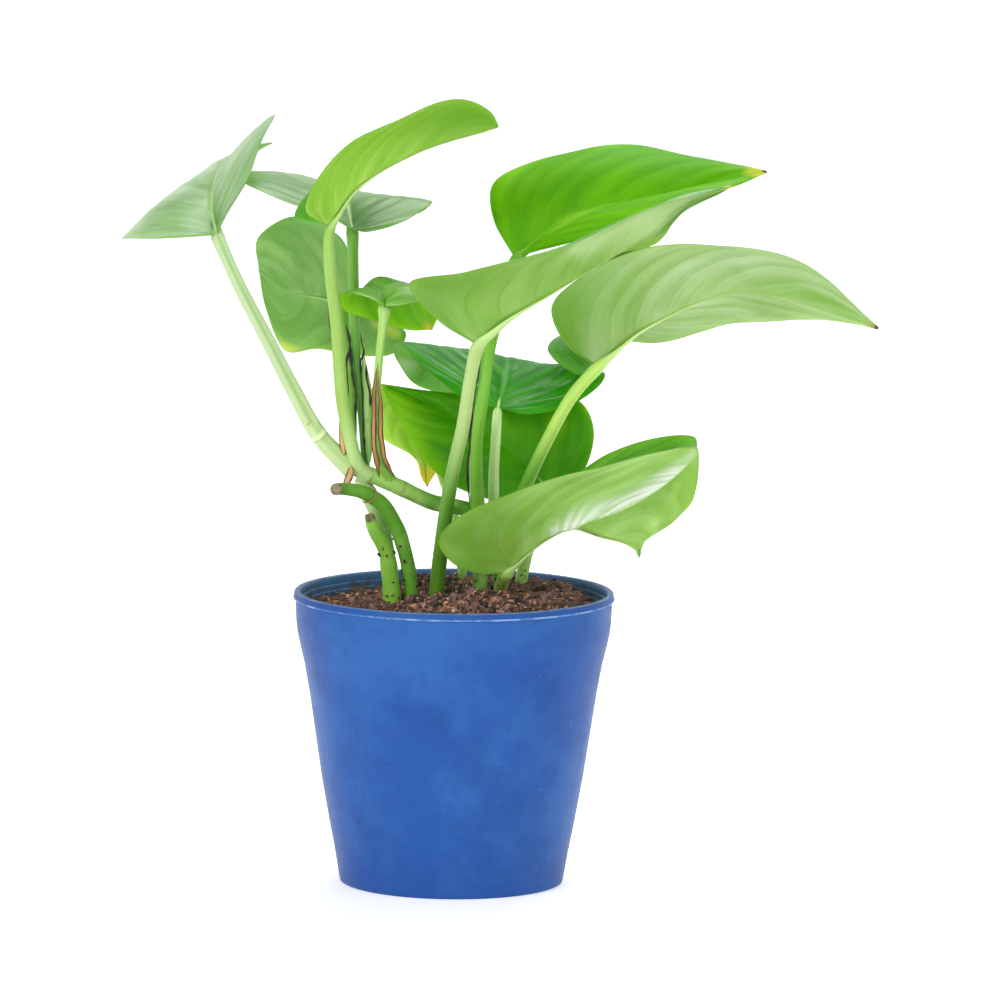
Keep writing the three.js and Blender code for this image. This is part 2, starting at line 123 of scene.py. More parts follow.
SHEATH_RAG_SIZE = 0.005
SHEATH_SWAY = 0.0002
SHEATH_SWAY_SIZE = 0.008
SHEATH_SIDES = 12
SHEATH_SQUASH = 0.18
SHEATH_FACE = (0.15, 1.0, 0.1)


# Colours, as read from a screen


def paint(red, green, blue):
    """A colour given as 0 to 255 on screen, in the linear values that shaders use."""
    screen = np.array([red, green, blue]) / 255
    linear = np.where(screen <= 0.04045, screen / 12.92, ((screen + 0.055) / 1.055) ** 2.4)
    return (*linear.tolist(), 1.0)


def shades(middle, light, dark):
    """The three tones of one material."""
    return paint(*middle), paint(*light), paint(*dark)


POT_BLUE = paint(33, 79, 151)
POT_LIGHT = paint(46, 96, 164)
POT_DARK = paint(26, 65, 134)
POT_SCUFF = paint(112, 150, 200)
POT_CRUST = paint(70, 66, 66)
POT_DUST = paint(128, 150, 184)
POT_BEAD_HIGHLIGHT = paint(150, 184, 226)
POT_WORN = paint(150, 112, 96)
POT_INNER = paint(84, 122, 160)
POT_FILM = paint(92, 80, 78)
FLOOR_PALE = paint(246, 246, 246)
FLOOR_WARM = paint(242, 242, 241)
LEAF_SHEEN = paint(200, 222, 196)
LEAF_GLARE = paint(212, 220, 208)
LEAF_POINT = paint(66, 38, 20)
LEAF_PIT = paint(62, 84, 30)
RING_PALE = paint(222, 236, 190)
RING_DARK = paint(150, 150, 92)
COLLAR = paint(132, 150, 74)
SPECK = paint(96, 70, 40)
SCAR = paint(140, 104, 60)
CORK = paint(96, 68, 40)
CUT_RIM = paint(124, 116, 88)
CUT_DARK = paint(70, 58, 44)
CUT_HEART = paint(138, 124, 98)
SOIL_TONES = shades((112, 86, 80), (180, 142, 126), (50, 38, 38))
FIBRE_TONES = (paint(110, 80, 64), paint(212, 176, 152))
DIRT_TONES = (paint(40, 28, 22), paint(88, 62, 46))

# Loose crumbs: how many, the smallest and largest size, the two end tones and a seed.
CRUMBS = {
    "dark_crumbs": (2200, (0.0003, 0.0014), (paint(36, 27, 27), paint(158, 122, 114)), 81),
    "brown_crumbs": (2400, (0.0002, 0.0009), (paint(142, 94, 72), paint(226, 166, 134)), 82),
    "pale_crumbs": (1000, (0.00015, 0.00045), (paint(186, 154, 138), paint(236, 212, 198)), 84),
    "white_specks": (40, (0.0002, 0.0005), (paint(222, 216, 204), paint(244, 240, 234)), 83),
}

# Dirt on the stems: its lowest and highest place, how much, a seed, and the smallest and largest size.
DIRT = {
    "dirt_on_stems": (0.0865, 0.1020, 260, 95, (0.00008, 0.0005)),
    "dirt_on_vines": (0.0855, 0.1180, 300, 96, (0.00008, 0.0006)),
}

# What a leaf is unless its own entry says otherwise. Zones are lists of a place along and across, a length,
# a width and a strength, where across goes from -1 at the left margin to 1 at the right one.
NOWHERE = [(0.5, 0, 0.1, 0.1, 0)]
NO_YELLOW = (1.2, 1.3)
PLAIN_LEAF = {
    "seed": 1.0, "mesh": BLADE_MESH,
    # Form: how far the rows lean, the height of the margin's waves, how uneven it is, how strongly its
    # tissue swells between the veins, and the veins' number. A hump has a place and length along, a place
    # and width across, and a height. A fold is described at crease_distance and crease_lift.
    "lag": 1.5, "wave": 0.0007, "uneven": 1.0, "quilt": 1.0, "veins": 9, "hump": None, "fold": None,
    # Tones of the two sides, and how strongly each kind of marking shows. Some markings are painted light:
    # a lighter and a darker side to each vein, whitish sheen, zones of painted shade and a glare band at a
    # fold; the pale zones are partly variegation and partly painted highlights.
    "upper": shades((76, 150, 36), (112, 182, 66), (44, 112, 22)),
    "lower": shades((132, 188, 70), (160, 208, 102), (104, 164, 48)),
    "rib": paint(190, 220, 140), "rib_strength": 0.6, "vein": paint(176, 214, 122), "vein_strength": 0.25,
    "streak": 0.55, "painted_vein_shading": 0.22, "sheen": 0.0, "edge": paint(78, 110, 40),
    "patch": paint(206, 222, 132), "cream_and_sheen": NOWHERE, "painted_shade_tone": paint(70, 128, 30), "painted_shade": NOWHERE,
    "tip_yellow": (0.96, 0.985), "tip_colour": paint(190, 190, 60), "point": 0.0,
    # Roughness of the upper side, its reflection and its wax coat.
    "gloss": 0.36, "shine": 0.32, "coat": 0.12,
}

# Leaves, read from the photograph, with depths chosen so that nothing crosses: where each blade begins and
# ends, points along its midrib and its two margins, how high its left and right halves arch, and what
# differs from a plain leaf.
LEAVES = {
    "far_left": {
        "base": (-0.0735, -0.0300, 0.2050), "tip": (-0.0585, 0.0460, 0.2262),
        "midrib": [(-0.0755, -0.0180, 0.2130), (-0.0715, 0.0220, 0.2235)],
        "left": [(-0.0815, -0.0360, 0.2050), (-0.0948, -0.0292, 0.2031), (-0.1037, -0.0112, 0.2019),
            (-0.0960, 0.0165, 0.2044), (-0.0765, 0.0420, 0.2148)],
        "right": [(-0.0690, -0.0340, 0.2145), (-0.0635, -0.0260, 0.2240), (-0.0570, 0.0000, 0.2395),
            (-0.0640, 0.0280, 0.2278)],
        "arch": (0.0032, 0.0008), "upper": shades((134, 172, 106), (182, 206, 164), (92, 146, 62)),
        "seed": 1.0, "veins": 8, "quilt": 0.7, "streak": 0.5,
        "painted_shade": [(0.02, 0.1, 0.22, 0.9, 0.75), (0.45, 0.95, 0.5, 0.35, 0.35), (0.5, 0.1, 0.4, 0.16, 0.4)],
        "painted_shade_tone": paint(70, 132, 36), "sheen": 0.3,
    },
    "back_left": {
        "base": (-0.0325, 0.0020, 0.2035), "tip": (-0.0425, 0.0700, 0.2078),
        "midrib": [(-0.0350, 0.0200, 0.2115), (-0.0390, 0.0480, 0.2118)],
        "left": [(-0.0400, -0.0035, 0.2085), (-0.0535, 0.0000, 0.2118), (-0.0665, 0.0120, 0.2172),
            (-0.0635, 0.0400, 0.2170)],
        "right": [(-0.0280, -0.0030, 0.2035), (-0.0180, 0.0000, 0.2065), (-0.0080, 0.0140, 0.2105),
            (-0.0170, 0.0420, 0.2044)],
        "arch": (0.0020, 0.0020), "upper": shades((118, 162, 86), (160, 194, 132), (76, 130, 50)),
        "seed": 2.0, "veins": 7, "painted_shade": [(0.08, 0.25, 0.20, 0.7, 0.8), (0.5, 0.6, 0.3, 0.5, 0.3)],
        "painted_shade_tone": paint(74, 128, 44), "sheen": 0.2,
    },
    "top": {
        "base": (-0.0395, -0.0200, 0.2065), "tip": (0.0125, -0.0080, 0.2370),
        "midrib": [(-0.0310, -0.0220, 0.2190), (-0.0125, -0.0200, 0.2300)],
        "left": [(-0.0500, -0.0100, 0.2085), (-0.0425, -0.0020, 0.2185), (-0.0215, 0.0060, 0.2322),
            (0.0000, 0.0040, 0.2424)],
        "right": [(-0.0468, -0.0320, 0.2145), (-0.0338, -0.0360, 0.2330), (-0.0175, -0.0340, 0.2420),
            (0.0005, -0.0240, 0.2465), (0.0095, -0.0140, 0.2425)],
        "arch": (0.0020, 0.0030), "lower": shades((138, 186, 54), (166, 208, 88), (112, 168, 34)),
        "vein": paint(84, 142, 26), "vein_strength": 0.35, "seed": 3.0, "tip_yellow": NO_YELLOW,
        "quilt": 1.3, "streak": 0.5, "painted_shade": [(0.85, 0.55, 0.25, 0.6, 0.75)],
        "painted_shade_tone": paint(96, 152, 26),
    },
    "upper_right": {
        "base": (0.0180, 0.0240, 0.1930), "tip": (0.0965, 0.0220, 0.2210),
        "midrib": [(0.0355, 0.0180, 0.2065), (0.0610, 0.0180, 0.2130)],
        "left": [(0.0110, 0.0280, 0.2045), (0.0110, 0.0340, 0.2150), (0.0255, 0.0400, 0.2225),
            (0.0510, 0.0400, 0.2270), (0.0755, 0.0320, 0.2245)],
        "right": [(0.0270, 0.0180, 0.1965), (0.0405, 0.0090, 0.2010), (0.0528, 0.0060, 0.2050),
            (0.0611, 0.0060, 0.2087), (0.0710, 0.0080, 0.2127), (0.0788, 0.0100, 0.2152),
            (0.0866, 0.0140, 0.2175)],
        "arch": (0.0030, 0.0020), "upper": shades((92, 166, 0), (124, 192, 8), (56, 138, 0)), "seed": 4.0,
        "veins": 7, "point": 1.0, "tip_yellow": (0.93, 0.965), "quilt": 0.6, "wave": 0.0006,
        "rib": paint(140, 200, 70), "gloss": 0.46, "shine": 0.10, "streak": 0.2, "coat": 0.0,
        "painted_shade": [(0.75, -0.5, 0.3, 0.6, 0.4)], "painted_shade_tone": paint(62, 138, 0),
        "cream_and_sheen": [(0.35, 0.12, 0.16, 0.20, 0.8), (0.62, 0.04, 0.2, 0.08, 0.5),
            (0.45, -0.62, 0.12, 0.2, 0.32)],
        "patch": paint(138, 194, 40),
    },
    "centre": {
        "base": (0.0065, -0.0340, 0.1725), "tip": (0.0855, 0.0000, 0.2190),
        "midrib": [(0.0160, -0.0328, 0.1805), (0.0290, -0.0298, 0.1880), (0.0450, -0.0210, 0.1970),
            (0.0609, -0.0120, 0.2062), (0.0661, -0.0090, 0.2114), (0.0725, -0.0060, 0.2147)],
        "left": [(0.0015, -0.0200, 0.1775), (0.0135, -0.0080, 0.1842), (0.0440, -0.0055, 0.1943),
            (0.0564, -0.0080, 0.1990), (0.0613, -0.0095, 0.2016), (0.0638, -0.0100, 0.2042),
            (0.0663, -0.0100, 0.2078), (0.0712, -0.0085, 0.2126), (0.0762, -0.0060, 0.2149),
            (0.0811, -0.0030, 0.2168)],
        "right": [(-0.0050, -0.0400, 0.1800), (-0.0145, -0.0460, 0.1925), (0.0025, -0.0540, 0.1965),
            (0.0225, -0.0500, 0.2015), (0.0445, -0.0380, 0.2085), (0.0665, -0.0180, 0.2155)],
        "arch": (0.0030, 0.0040), "lower": shades((118, 162, 58), (142, 180, 90), (98, 144, 40)),
        "vein": paint(84, 130, 46), "vein_strength": 0.22, "seed": 5.0, "veins": 7, "streak": 0.35,
        "painted_shade": [(0.20, 0.75, 0.18, 0.4, 0.5)], "painted_shade_tone": paint(92, 142, 38),
        "cream_and_sheen": [(0.72, 0.40, 0.16, 0.5, 0.62), (0.88, 0.3, 0.12, 0.7, 0.7),
            (0.84, -0.6, 0.16, 0.6, 0.55), (0.45, 0.68, 0.07, 0.16, 0.42), (0.58, 0.5, 0.05, 0.3, 0.45)],
        "patch": paint(166, 192, 130),
    },
    "right": {
        "base": (0.0440, 0.0000, 0.1620), "tip": (0.1315, 0.0040, 0.1740),
        "midrib": [(0.0512, 0.0058, 0.1682), (0.0600, 0.0120, 0.1736), (0.0875, 0.0180, 0.1835)],
        "left": [(0.0375, 0.0060, 0.1590), (0.0285, 0.0200, 0.1645), (0.0355, 0.0320, 0.1685),
            (0.0620, 0.0380, 0.1652), (0.0770, 0.0350, 0.1684), (0.0870, 0.0320, 0.1716),
            (0.1130, 0.0160, 0.1755)],
        "right": [(0.0340, -0.0040, 0.1690), (0.0290, -0.0080, 0.1815), (0.0395, -0.0100, 0.1915),
            (0.0610, -0.0080, 0.2005), (0.0885, -0.0080, 0.2005), (0.1105, -0.0040, 0.1930)],
        "arch": (0.0020, 0.0040), "lower": shades((146, 180, 98), (178, 200, 152), (114, 156, 60)),
        "vein": paint(198, 216, 172), "vein_strength": 0.20, "seed": 6.0, "veins": 8, "streak": 0.35,
        "tip_yellow": (0.955, 0.985), "tip_colour": paint(150, 156, 50), "point": 0.9, "quilt": 1.9,
        "painted_vein_shading": 0.26, "painted_shade": [(0.14, 0.8, 0.20, 0.55, 1.0), (0.85, 0.25, 0.14, 0.25, 0.5)],
        "painted_shade_tone": paint(96, 150, 24),
    },
    "middle": {
        "base": (0.0130, 0.0060, 0.1480), "tip": (0.0040, 0.0640, 0.1425),
        "midrib": [(0.0150, 0.0200, 0.1555), (0.0155, 0.0380, 0.1600)],
        "left": [(0.0045, 0.0020, 0.1500), (-0.0090, 0.0070, 0.1585), (-0.0170, 0.0180, 0.1670),
            (-0.0200, 0.0360, 0.1615), (-0.0120, 0.0560, 0.1485)],
        "right": [(0.0215, 0.0020, 0.1465), (0.0380, 0.0085, 0.1500), (0.0444, 0.0140, 0.1533),
            (0.0464, 0.0195, 0.1559), (0.0458, 0.0250, 0.1570), (0.0405, 0.0420, 0.1515)],
        "arch": (0.0020, 0.0020), "upper": shades((38, 138, 2), (82, 172, 36), (18, 98, 4)),
        "lower": shades((98, 164, 56), (120, 178, 80), (76, 146, 36)), "gloss": 0.40, "seed": 7.0,
        "veins": 8, "quilt": 1.6, "rib": paint(90, 160, 54), "uneven": 2.0, "streak": 0.2, "shine": 0.12,
        "coat": 0.02, "sheen": 0.34, "painted_vein_shading": 0.36,
        "cream_and_sheen": [(0.55, -1.0, 0.10, 0.2, 0.3), (0.70, -0.95, 0.07, 0.16, 0.7),
            (0.32, 0.55, 0.07, 0.3, 0.42)],
        "patch": paint(160, 196, 144),
    },
    "inner": {
        "base": (0.0285, 0.0220, 0.1215), "tip": (-0.0240, 0.0360, 0.1515),
        "midrib": [(0.0170, 0.0260, 0.1320), (-0.0050, 0.0320, 0.1440)],
        "left": [(0.0205, 0.0200, 0.1160), (0.0035, 0.0220, 0.1195), (-0.0080, 0.0260, 0.1265),
            (-0.0180, 0.0320, 0.1400)],
        "right": [(0.0380, 0.0220, 0.1235), (0.0432, 0.0240, 0.1385), (0.0378, 0.0280, 0.1482),
            (0.0135, 0.0320, 0.1480), (-0.0115, 0.0340, 0.1500)],
        "arch": (0.0020, 0.0020), "upper": shades((70, 152, 0), (104, 178, 4), (50, 130, 0)),
        "lower": shades((92, 160, 40), (160, 208, 102), (104, 164, 48)), "seed": 8.0, "veins": 7,
        "quilt": 0.5, "rib": paint(70, 148, 10), "gloss": 0.5, "streak": 0.15, "shine": 0.14, "coat": 0.0,
        "cream_and_sheen": [(0.92, -0.55, 0.22, 0.6, 0.75), (0.34, 0.60, 0.08, 0.25, 0.5),
            (0.62, -0.95, 0.2, 0.3, 0.6)],
        "patch": paint(134, 192, 4), "painted_shade": [(0.36, -0.5, 0.2, 0.6, 0.5), (0.10, 0.6, 0.2, 0.8, 0.4)],
        "painted_shade_tone": paint(34, 112, 2),
    },
    "low_right": {
        "base": (0.0160, -0.0120, 0.0985), "tip": (0.0575, -0.0040, 0.1025),
        "midrib": [(0.0280, -0.0160, 0.1095), (0.0365, -0.0150, 0.1133), (0.0450, -0.0120, 0.1104),
            (0.0532, -0.0080, 0.1078), (0.0560, -0.0060, 0.1054)],
        "left": [(0.0050, -0.0090, 0.1035), (0.0065, -0.0070, 0.1140), (0.0185, -0.0050, 0.1195),
            (0.0325, -0.0040, 0.1265), (0.0480, -0.0020, 0.1355), (0.0630, 0.0018, 0.1398),
            (0.0712, 0.0005, 0.1408), (0.0741, 0.0002, 0.1402), (0.0750, 0.0025, 0.1360),
            (0.0732, 0.0090, 0.1220), (0.0690, 0.0085, 0.1150), (0.0650, 0.0060, 0.1118),
            (0.0597, 0.0020, 0.1088), (0.0583, -0.0010, 0.1069)],
        "right": [(0.0075, -0.0160, 0.0990), (-0.0010, -0.0210, 0.1035), (-0.0050, -0.0250, 0.1105),
            (0.0000, -0.0300, 0.1180), (0.0190, -0.0360, 0.1270), (0.0400, -0.0355, 0.1345),
            (0.0571, -0.0280, 0.1380), (0.0644, -0.0225, 0.1387), (0.0703, -0.0170, 0.1391),
            (0.0749, -0.0125, 0.1383), (0.0756, -0.0075, 0.1345), (0.0750, -0.0030, 0.1256),
            (0.0734, -0.0010, 0.1199), (0.0701, 0.0000, 0.1160), (0.0660, -0.0010, 0.1124),
            (0.0602, -0.0020, 0.1093), (0.0586, -0.0030, 0.1071)],
        "arch": (0.0000, 0.0030), "lag": 1.1, "upper": shades((84, 152, 26), (132, 188, 66), (36, 108, 8)),
        "lower": shades((132, 175, 70), (158, 195, 112), (104, 152, 44)), "seed": 9.0, "veins": 8,
        "vein": paint(84, 134, 44), "shine": 0.22, "vein_strength": 0.20, "gloss": 0.4, "quilt": 0.6,
        "streak": 0.25, "tip_yellow": NO_YELLOW,
        "painted_shade": [(0.06, 0.6, 0.26, 0.8, 0.6), (0.76, 0.5, 0.07, 0.3, 0.4)],
        "painted_shade_tone": paint(96, 146, 24),
        "cream_and_sheen": [(0.86, 0.45, 0.05, 0.25, 0.5), (0.80, 0.75, 0.04, 0.12, 0.5)],
        "patch": paint(186, 212, 112), "mesh": (200, 42),
        "fold": {"start": 0.388, "reach": 0.345, "bend": 4.2, "hollow": 0.0010, "crest": 0.0038,
            "behind": 0.0008, "fall": 0.030},
    },
    "small": {
        "base": (-0.0220, -0.0140, 0.1815), "tip": (-0.0075, 0.0070, 0.1720),
        "midrib": [(-0.0224, -0.0085, 0.1852), (-0.0228, -0.0030, 0.1864), (-0.0212, 0.0035, 0.1868),
            (-0.0155, 0.0070, 0.1825)],
        "left": [(-0.0265, -0.0180, 0.1845), (-0.0325, -0.0140, 0.1855), (-0.0360, -0.0090, 0.1840),
            (-0.0345, -0.0040, 0.1790), (-0.0250, 0.0020, 0.1750), (-0.0150, 0.0060, 0.1720)],
        "right": [(-0.0188, -0.0160, 0.1822), (-0.0135, -0.0140, 0.1827), (-0.0075, -0.0080, 0.1822),
            (-0.0060, 0.0000, 0.1770)],
        "arch": (0.0020, 0.0028), "upper": shades((104, 166, 52), (150, 194, 108), (64, 136, 22)),
        "lower": shades((120, 188, 10), (146, 204, 26), (84, 160, 6)), "seed": 10.0, "veins": 5,
        "tip_yellow": (0.91, 0.98), "tip_colour": paint(214, 190, 60), "point": 0.5, "quilt": 0.4,
        "rib": paint(150, 196, 96), "streak": 0.25, "hump": (0.56, 0.085, -0.34, 0.40, 0.0036),
        "wave": 0.0002,
        "cream_and_sheen": [(0.42, 0.0, 0.02, 0.8, 0.45), (0.12, -1.0, 0.22, 0.12, 0.7),
            (0.10, 1.0, 0.18, 0.12, 0.7)],
        "patch": paint(186, 214, 140), "vein_strength": 0.06,
    },
    "left_back": {
        "base": (-0.0350, 0.0280, 0.1780), "tip": (-0.0630, 0.0570, 0.1845),
        "midrib": [(-0.0430, 0.0360, 0.1785), (-0.0545, 0.0480, 0.1795)],
        "left": [(-0.0330, 0.0240, 0.1870), (-0.0370, 0.0240, 0.1990), (-0.0510, 0.0340, 0.2040),
            (-0.0615, 0.0470, 0.1975), (-0.0640, 0.0530, 0.1915)],
        "right": [(-0.0255, 0.0300, 0.1725), (-0.0160, 0.0380, 0.1675), (-0.0210, 0.0430, 0.1595),
            (-0.0430, 0.0440, 0.1615), (-0.0545, 0.0480, 0.1600), (-0.0605, 0.0540, 0.1730)],
        "arch": (0.0020, 0.0020), "lower": shades((102, 154, 58), (136, 180, 94), (74, 130, 38)),
        "vein": paint(160, 198, 124), "vein_strength": 0.10, "seed": 11.0, "veins": 6, "quilt": 1.2,
        "uneven": 1.4, "streak": 0.3, "tip_yellow": NO_YELLOW, "rib": paint(150, 190, 116), "painted_vein_shading": 0.08,
        "rib_strength": 0.3,
        "cream_and_sheen": [(0.30, 0.66, 0.05, 0.15, 0.6), (0.28, 0.88, 0.05, 0.12, 0.6),
            (0.71, 0.97, 0.07, 0.16, 0.7)],
        "patch": paint(196, 206, 80),
    },
    "yellow_tip": {
        "base": (-0.0165, 0.0520, 0.1470), "tip": (-0.0090, 0.0470, 0.1175),
        "midrib": [(-0.0145, 0.0490, 0.1385), (-0.0105, 0.0470, 0.1260)],
        "left": [(-0.0020, 0.0520, 0.1445), (0.0020, 0.0500, 0.1355), (-0.0035, 0.0480, 0.1262),
            (-0.0060, 0.0475, 0.1225), (-0.0079, 0.0470, 0.1194)],
        "right": [(-0.0260, 0.0480, 0.1495), (-0.0275, 0.0460, 0.1435), (-0.0230, 0.0440, 0.1335),
            (-0.0146, 0.0445, 0.1278), (-0.0121, 0.0450, 0.1252), (-0.0113, 0.0460, 0.1221),
            (-0.0103, 0.0467, 0.1193)],
        "arch": (0.0010, 0.0010), "lower": shades((180, 218, 72), (198, 226, 104), (156, 204, 50)),
        "upper": shades((180, 218, 72), (198, 226, 104), (156, 204, 50)), "seed": 12.0, "veins": 5,
        "tip_yellow": (0.78, 0.92), "tip_colour": paint(232, 210, 46), "point": 1.0, "streak": 0.3,
    },
}

# Petioles, each a path, its radius at both ends, swellings (place, share of the radius, width), a groove,
# how far it widens below the blade, how soon the rib thins, and where it turns from its dark tone. Planted
# ones go on down into the soil.
PLAIN_PETIOLE = {
    "planted": False, "swells": [], "groove": None, "depth": 0.0, "groove_from": -1, "funnel": 0.2,
    "rib_power": 4, "green": shades((166, 208, 100), (198, 226, 146), (112, 170, 44)),
    "darkens": (0.0, 0.55), "streaks": 0.32, "side_shade": 0.0, "ring": None, "collar": None,
}
PETIOLES = {
    "far_left": {
        "path": [(-0.0315, -0.0030, 0.1290), (-0.0418, -0.0080, 0.1400), (-0.0500, -0.0130, 0.1550),
            (-0.0586, -0.0190, 0.1725), (-0.0668, -0.0250, 0.1890), (-0.0737, -0.0300, 0.2050)],
        "radii": (0.0028, 0.0018), "groove": (0.35, -1.0, 0.25), "depth": 0.34, "groove_from": 0.22,
        "swells": [(0.19, 0.09, 0.010), (0.08, 0.08, 0.09)],
        "green": shades((170, 194, 140), (208, 220, 192), (190, 212, 146)), "ring": 0.19, "seed": 1.0,
        "streaks": 0.3, "shaded": paint(124, 178, 72), "side_shade": 0.35,
    },
    "back_left": {
        "path": [(-0.0268, -0.0012, 0.1275), (-0.0283, -0.0004, 0.1320), (-0.0290, 0.0014, 0.1396),
            (-0.0298, 0.0030, 0.1488), (-0.0306, 0.0042, 0.1565), (-0.0313, 0.0052, 0.1641),
            (-0.0319, 0.0060, 0.1760), (-0.0322, 0.0060, 0.1880), (-0.0325, 0.0020, 0.2035)],
        "radii": (0.0019, 0.0017), "swells": [(0.08, -0.58, 0.36)],
        "green": shades((104, 162, 50), (140, 186, 92), (52, 122, 12)), "darkens": (0.40, 0.66),
        "seed": 2.0, "streaks": 0.5,
    },
    "top": {
        "path": [(-0.0268, -0.0026, 0.1273), (-0.0298, -0.0045, 0.1301), (-0.0314, -0.0066, 0.1344),
            (-0.0327, -0.0083, 0.1400), (-0.0350, -0.0108, 0.1520), (-0.0370, -0.0160, 0.1775),
            (-0.0390, -0.0200, 0.1940), (-0.0395, -0.0200, 0.2065)],
        "radii": (0.0022, 0.0018), "funnel": 0.15, "swells": [(1.0, -0.12, 0.08)],
        "green": shades((144, 182, 80), (176, 204, 126), (182, 210, 138)), "darkens": (0.06, 0.35),
        "seed": 3.0, "collar": 0.055,
    },
    "upper_right": {
        "path": [(0.0070, 0.0030, 0.1160), (0.0065, -0.0030, 0.1385), (0.0085, -0.0050, 0.1535),
            (0.0105, -0.0010, 0.1685), (0.0145, 0.0090, 0.1815), (0.0180, 0.0240, 0.1930)],
        "radii": (0.0022, 0.0016), "green": shades((112, 176, 44), (146, 198, 84), (116, 174, 50)),
        "seed": 4.0,
    },
    "centre": {
        "path": [(-0.0055, 0.0010, 0.0890), (-0.0030, -0.0120, 0.1150), (-0.0005, -0.0190, 0.1315),
            (0.0025, -0.0240, 0.1465), (0.0045, -0.0300, 0.1615), (0.0065, -0.0340, 0.1725)],
        "radii": (0.00248, 0.0019), "planted": True, "funnel": 0.40, "rib_power": 6.0,
        "green": shades((166, 192, 116), (190, 212, 148), (86, 144, 30)), "darkens": (0.44, 0.80),
        "seed": 5.0, "streaks": 0.3,
    },
    "right": {
        "path": [(0.0135, 0.0110, 0.0890), (0.0165, 0.0080, 0.1080), (0.0215, 0.0030, 0.1230),
            (0.0285, 0.0020, 0.1385), (0.0360, 0.0010, 0.1525), (0.0440, 0.0000, 0.1620)],
        "radii": (0.0021, 0.0019), "planted": True, "funnel": 0.25, "rib_power": 6.0,
        "green": shades((188, 226, 104), (204, 234, 142), (96, 166, 18)), "darkens": (0.54, 0.78),
        "seed": 6.0,
    },
    "middle": {
        "path": [(0.0102, 0.0078, 0.1070), (0.0116, 0.0084, 0.1130), (0.0120, 0.0080, 0.1180),
            (0.0120, 0.0050, 0.1285), (0.0125, 0.0030, 0.1385), (0.0130, 0.0060, 0.1480)],
        "radii": (0.0018, 0.0015), "groove": (-0.4, -1.0, 0.3), "depth": 0.26, "funnel": 0.0,
        "rib_power": 2.0, "swells": [(1.0, -0.25, 0.03)],
        "green": shades((200, 228, 150), (228, 242, 200), (140, 190, 80)), "darkens": (0.1, 0.5),
        "seed": 7.0, "streaks": 0.6,
    },
    "inner": {
        "path": [(0.0205, 0.0200, 0.0890), (0.0230, 0.0220, 0.1015), (0.0282, 0.0240, 0.1210)],
        "radii": (0.0020, 0.0017), "planted": True, "seed": 8.0,
    },
    "low_right": {
        "path": [(0.0145, 0.0020, 0.0890), (0.0145, -0.0020, 0.0930), (0.0160, -0.0120, 0.0985)],
        "radii": (0.0022, 0.0020), "planted": True, "rib_power": 12,
        "green": shades((140, 182, 76), (166, 200, 104), (124, 172, 60)), "seed": 9.0,
    },
    "small": {
        "path": [(-0.0199, -0.0014, 0.1245), (-0.0210, -0.0026, 0.1275), (-0.0224, -0.0052, 0.1318),
            (-0.0236, -0.0074, 0.1374), (-0.0244, -0.0092, 0.1441), (-0.0245, -0.0104, 0.1530),
            (-0.0235, -0.0122, 0.1680), (-0.0220, -0.0140, 0.1815)],
        "radii": (0.0018, 0.0014), "funnel": 0.75, "swells": [(0.5, -0.2, 0.5)],
        "green": shades((150, 194, 92), (196, 218, 152), (122, 174, 58)), "seed": 10.0, "streaks": 0.6,
    },
    "left_back": {
        "path": [(-0.0320, 0.0012, 0.1295), (-0.0320, 0.0065, 0.1435), (-0.0330, 0.0140, 0.1585),
            (-0.0350, 0.0240, 0.1735), (-0.0350, 0.0280, 0.1780)],
        "radii": (0.0013, 0.0012), "green": shades((110, 166, 50), (144, 190, 82), (90, 148, 34)),
        "seed": 11.0,
    },
    "yellow_tip": {
        "path": [(0.0025, 0.0360, 0.0890), (0.0000, 0.0440, 0.1075), (-0.0065, 0.0550, 0.1250),
            (-0.0130, 0.0585, 0.1415), (-0.0162, 0.0530, 0.1466)],
        "radii": (0.0016, 0.0012), "planted": True, "seed": 12.0,
    },
}

# The line inside the main vine from which petioles grow.
VINE_AXIS = [(0.0080, 0.0060, 0.0890), (0.0080, 0.0050, 0.1035), (0.0070, 0.0040, 0.1150),
             (-0.0075, 0.0010, 0.1195), (-0.0175, -0.0010, 0.1245), (-0.0315, -0.0030, 0.1300)]

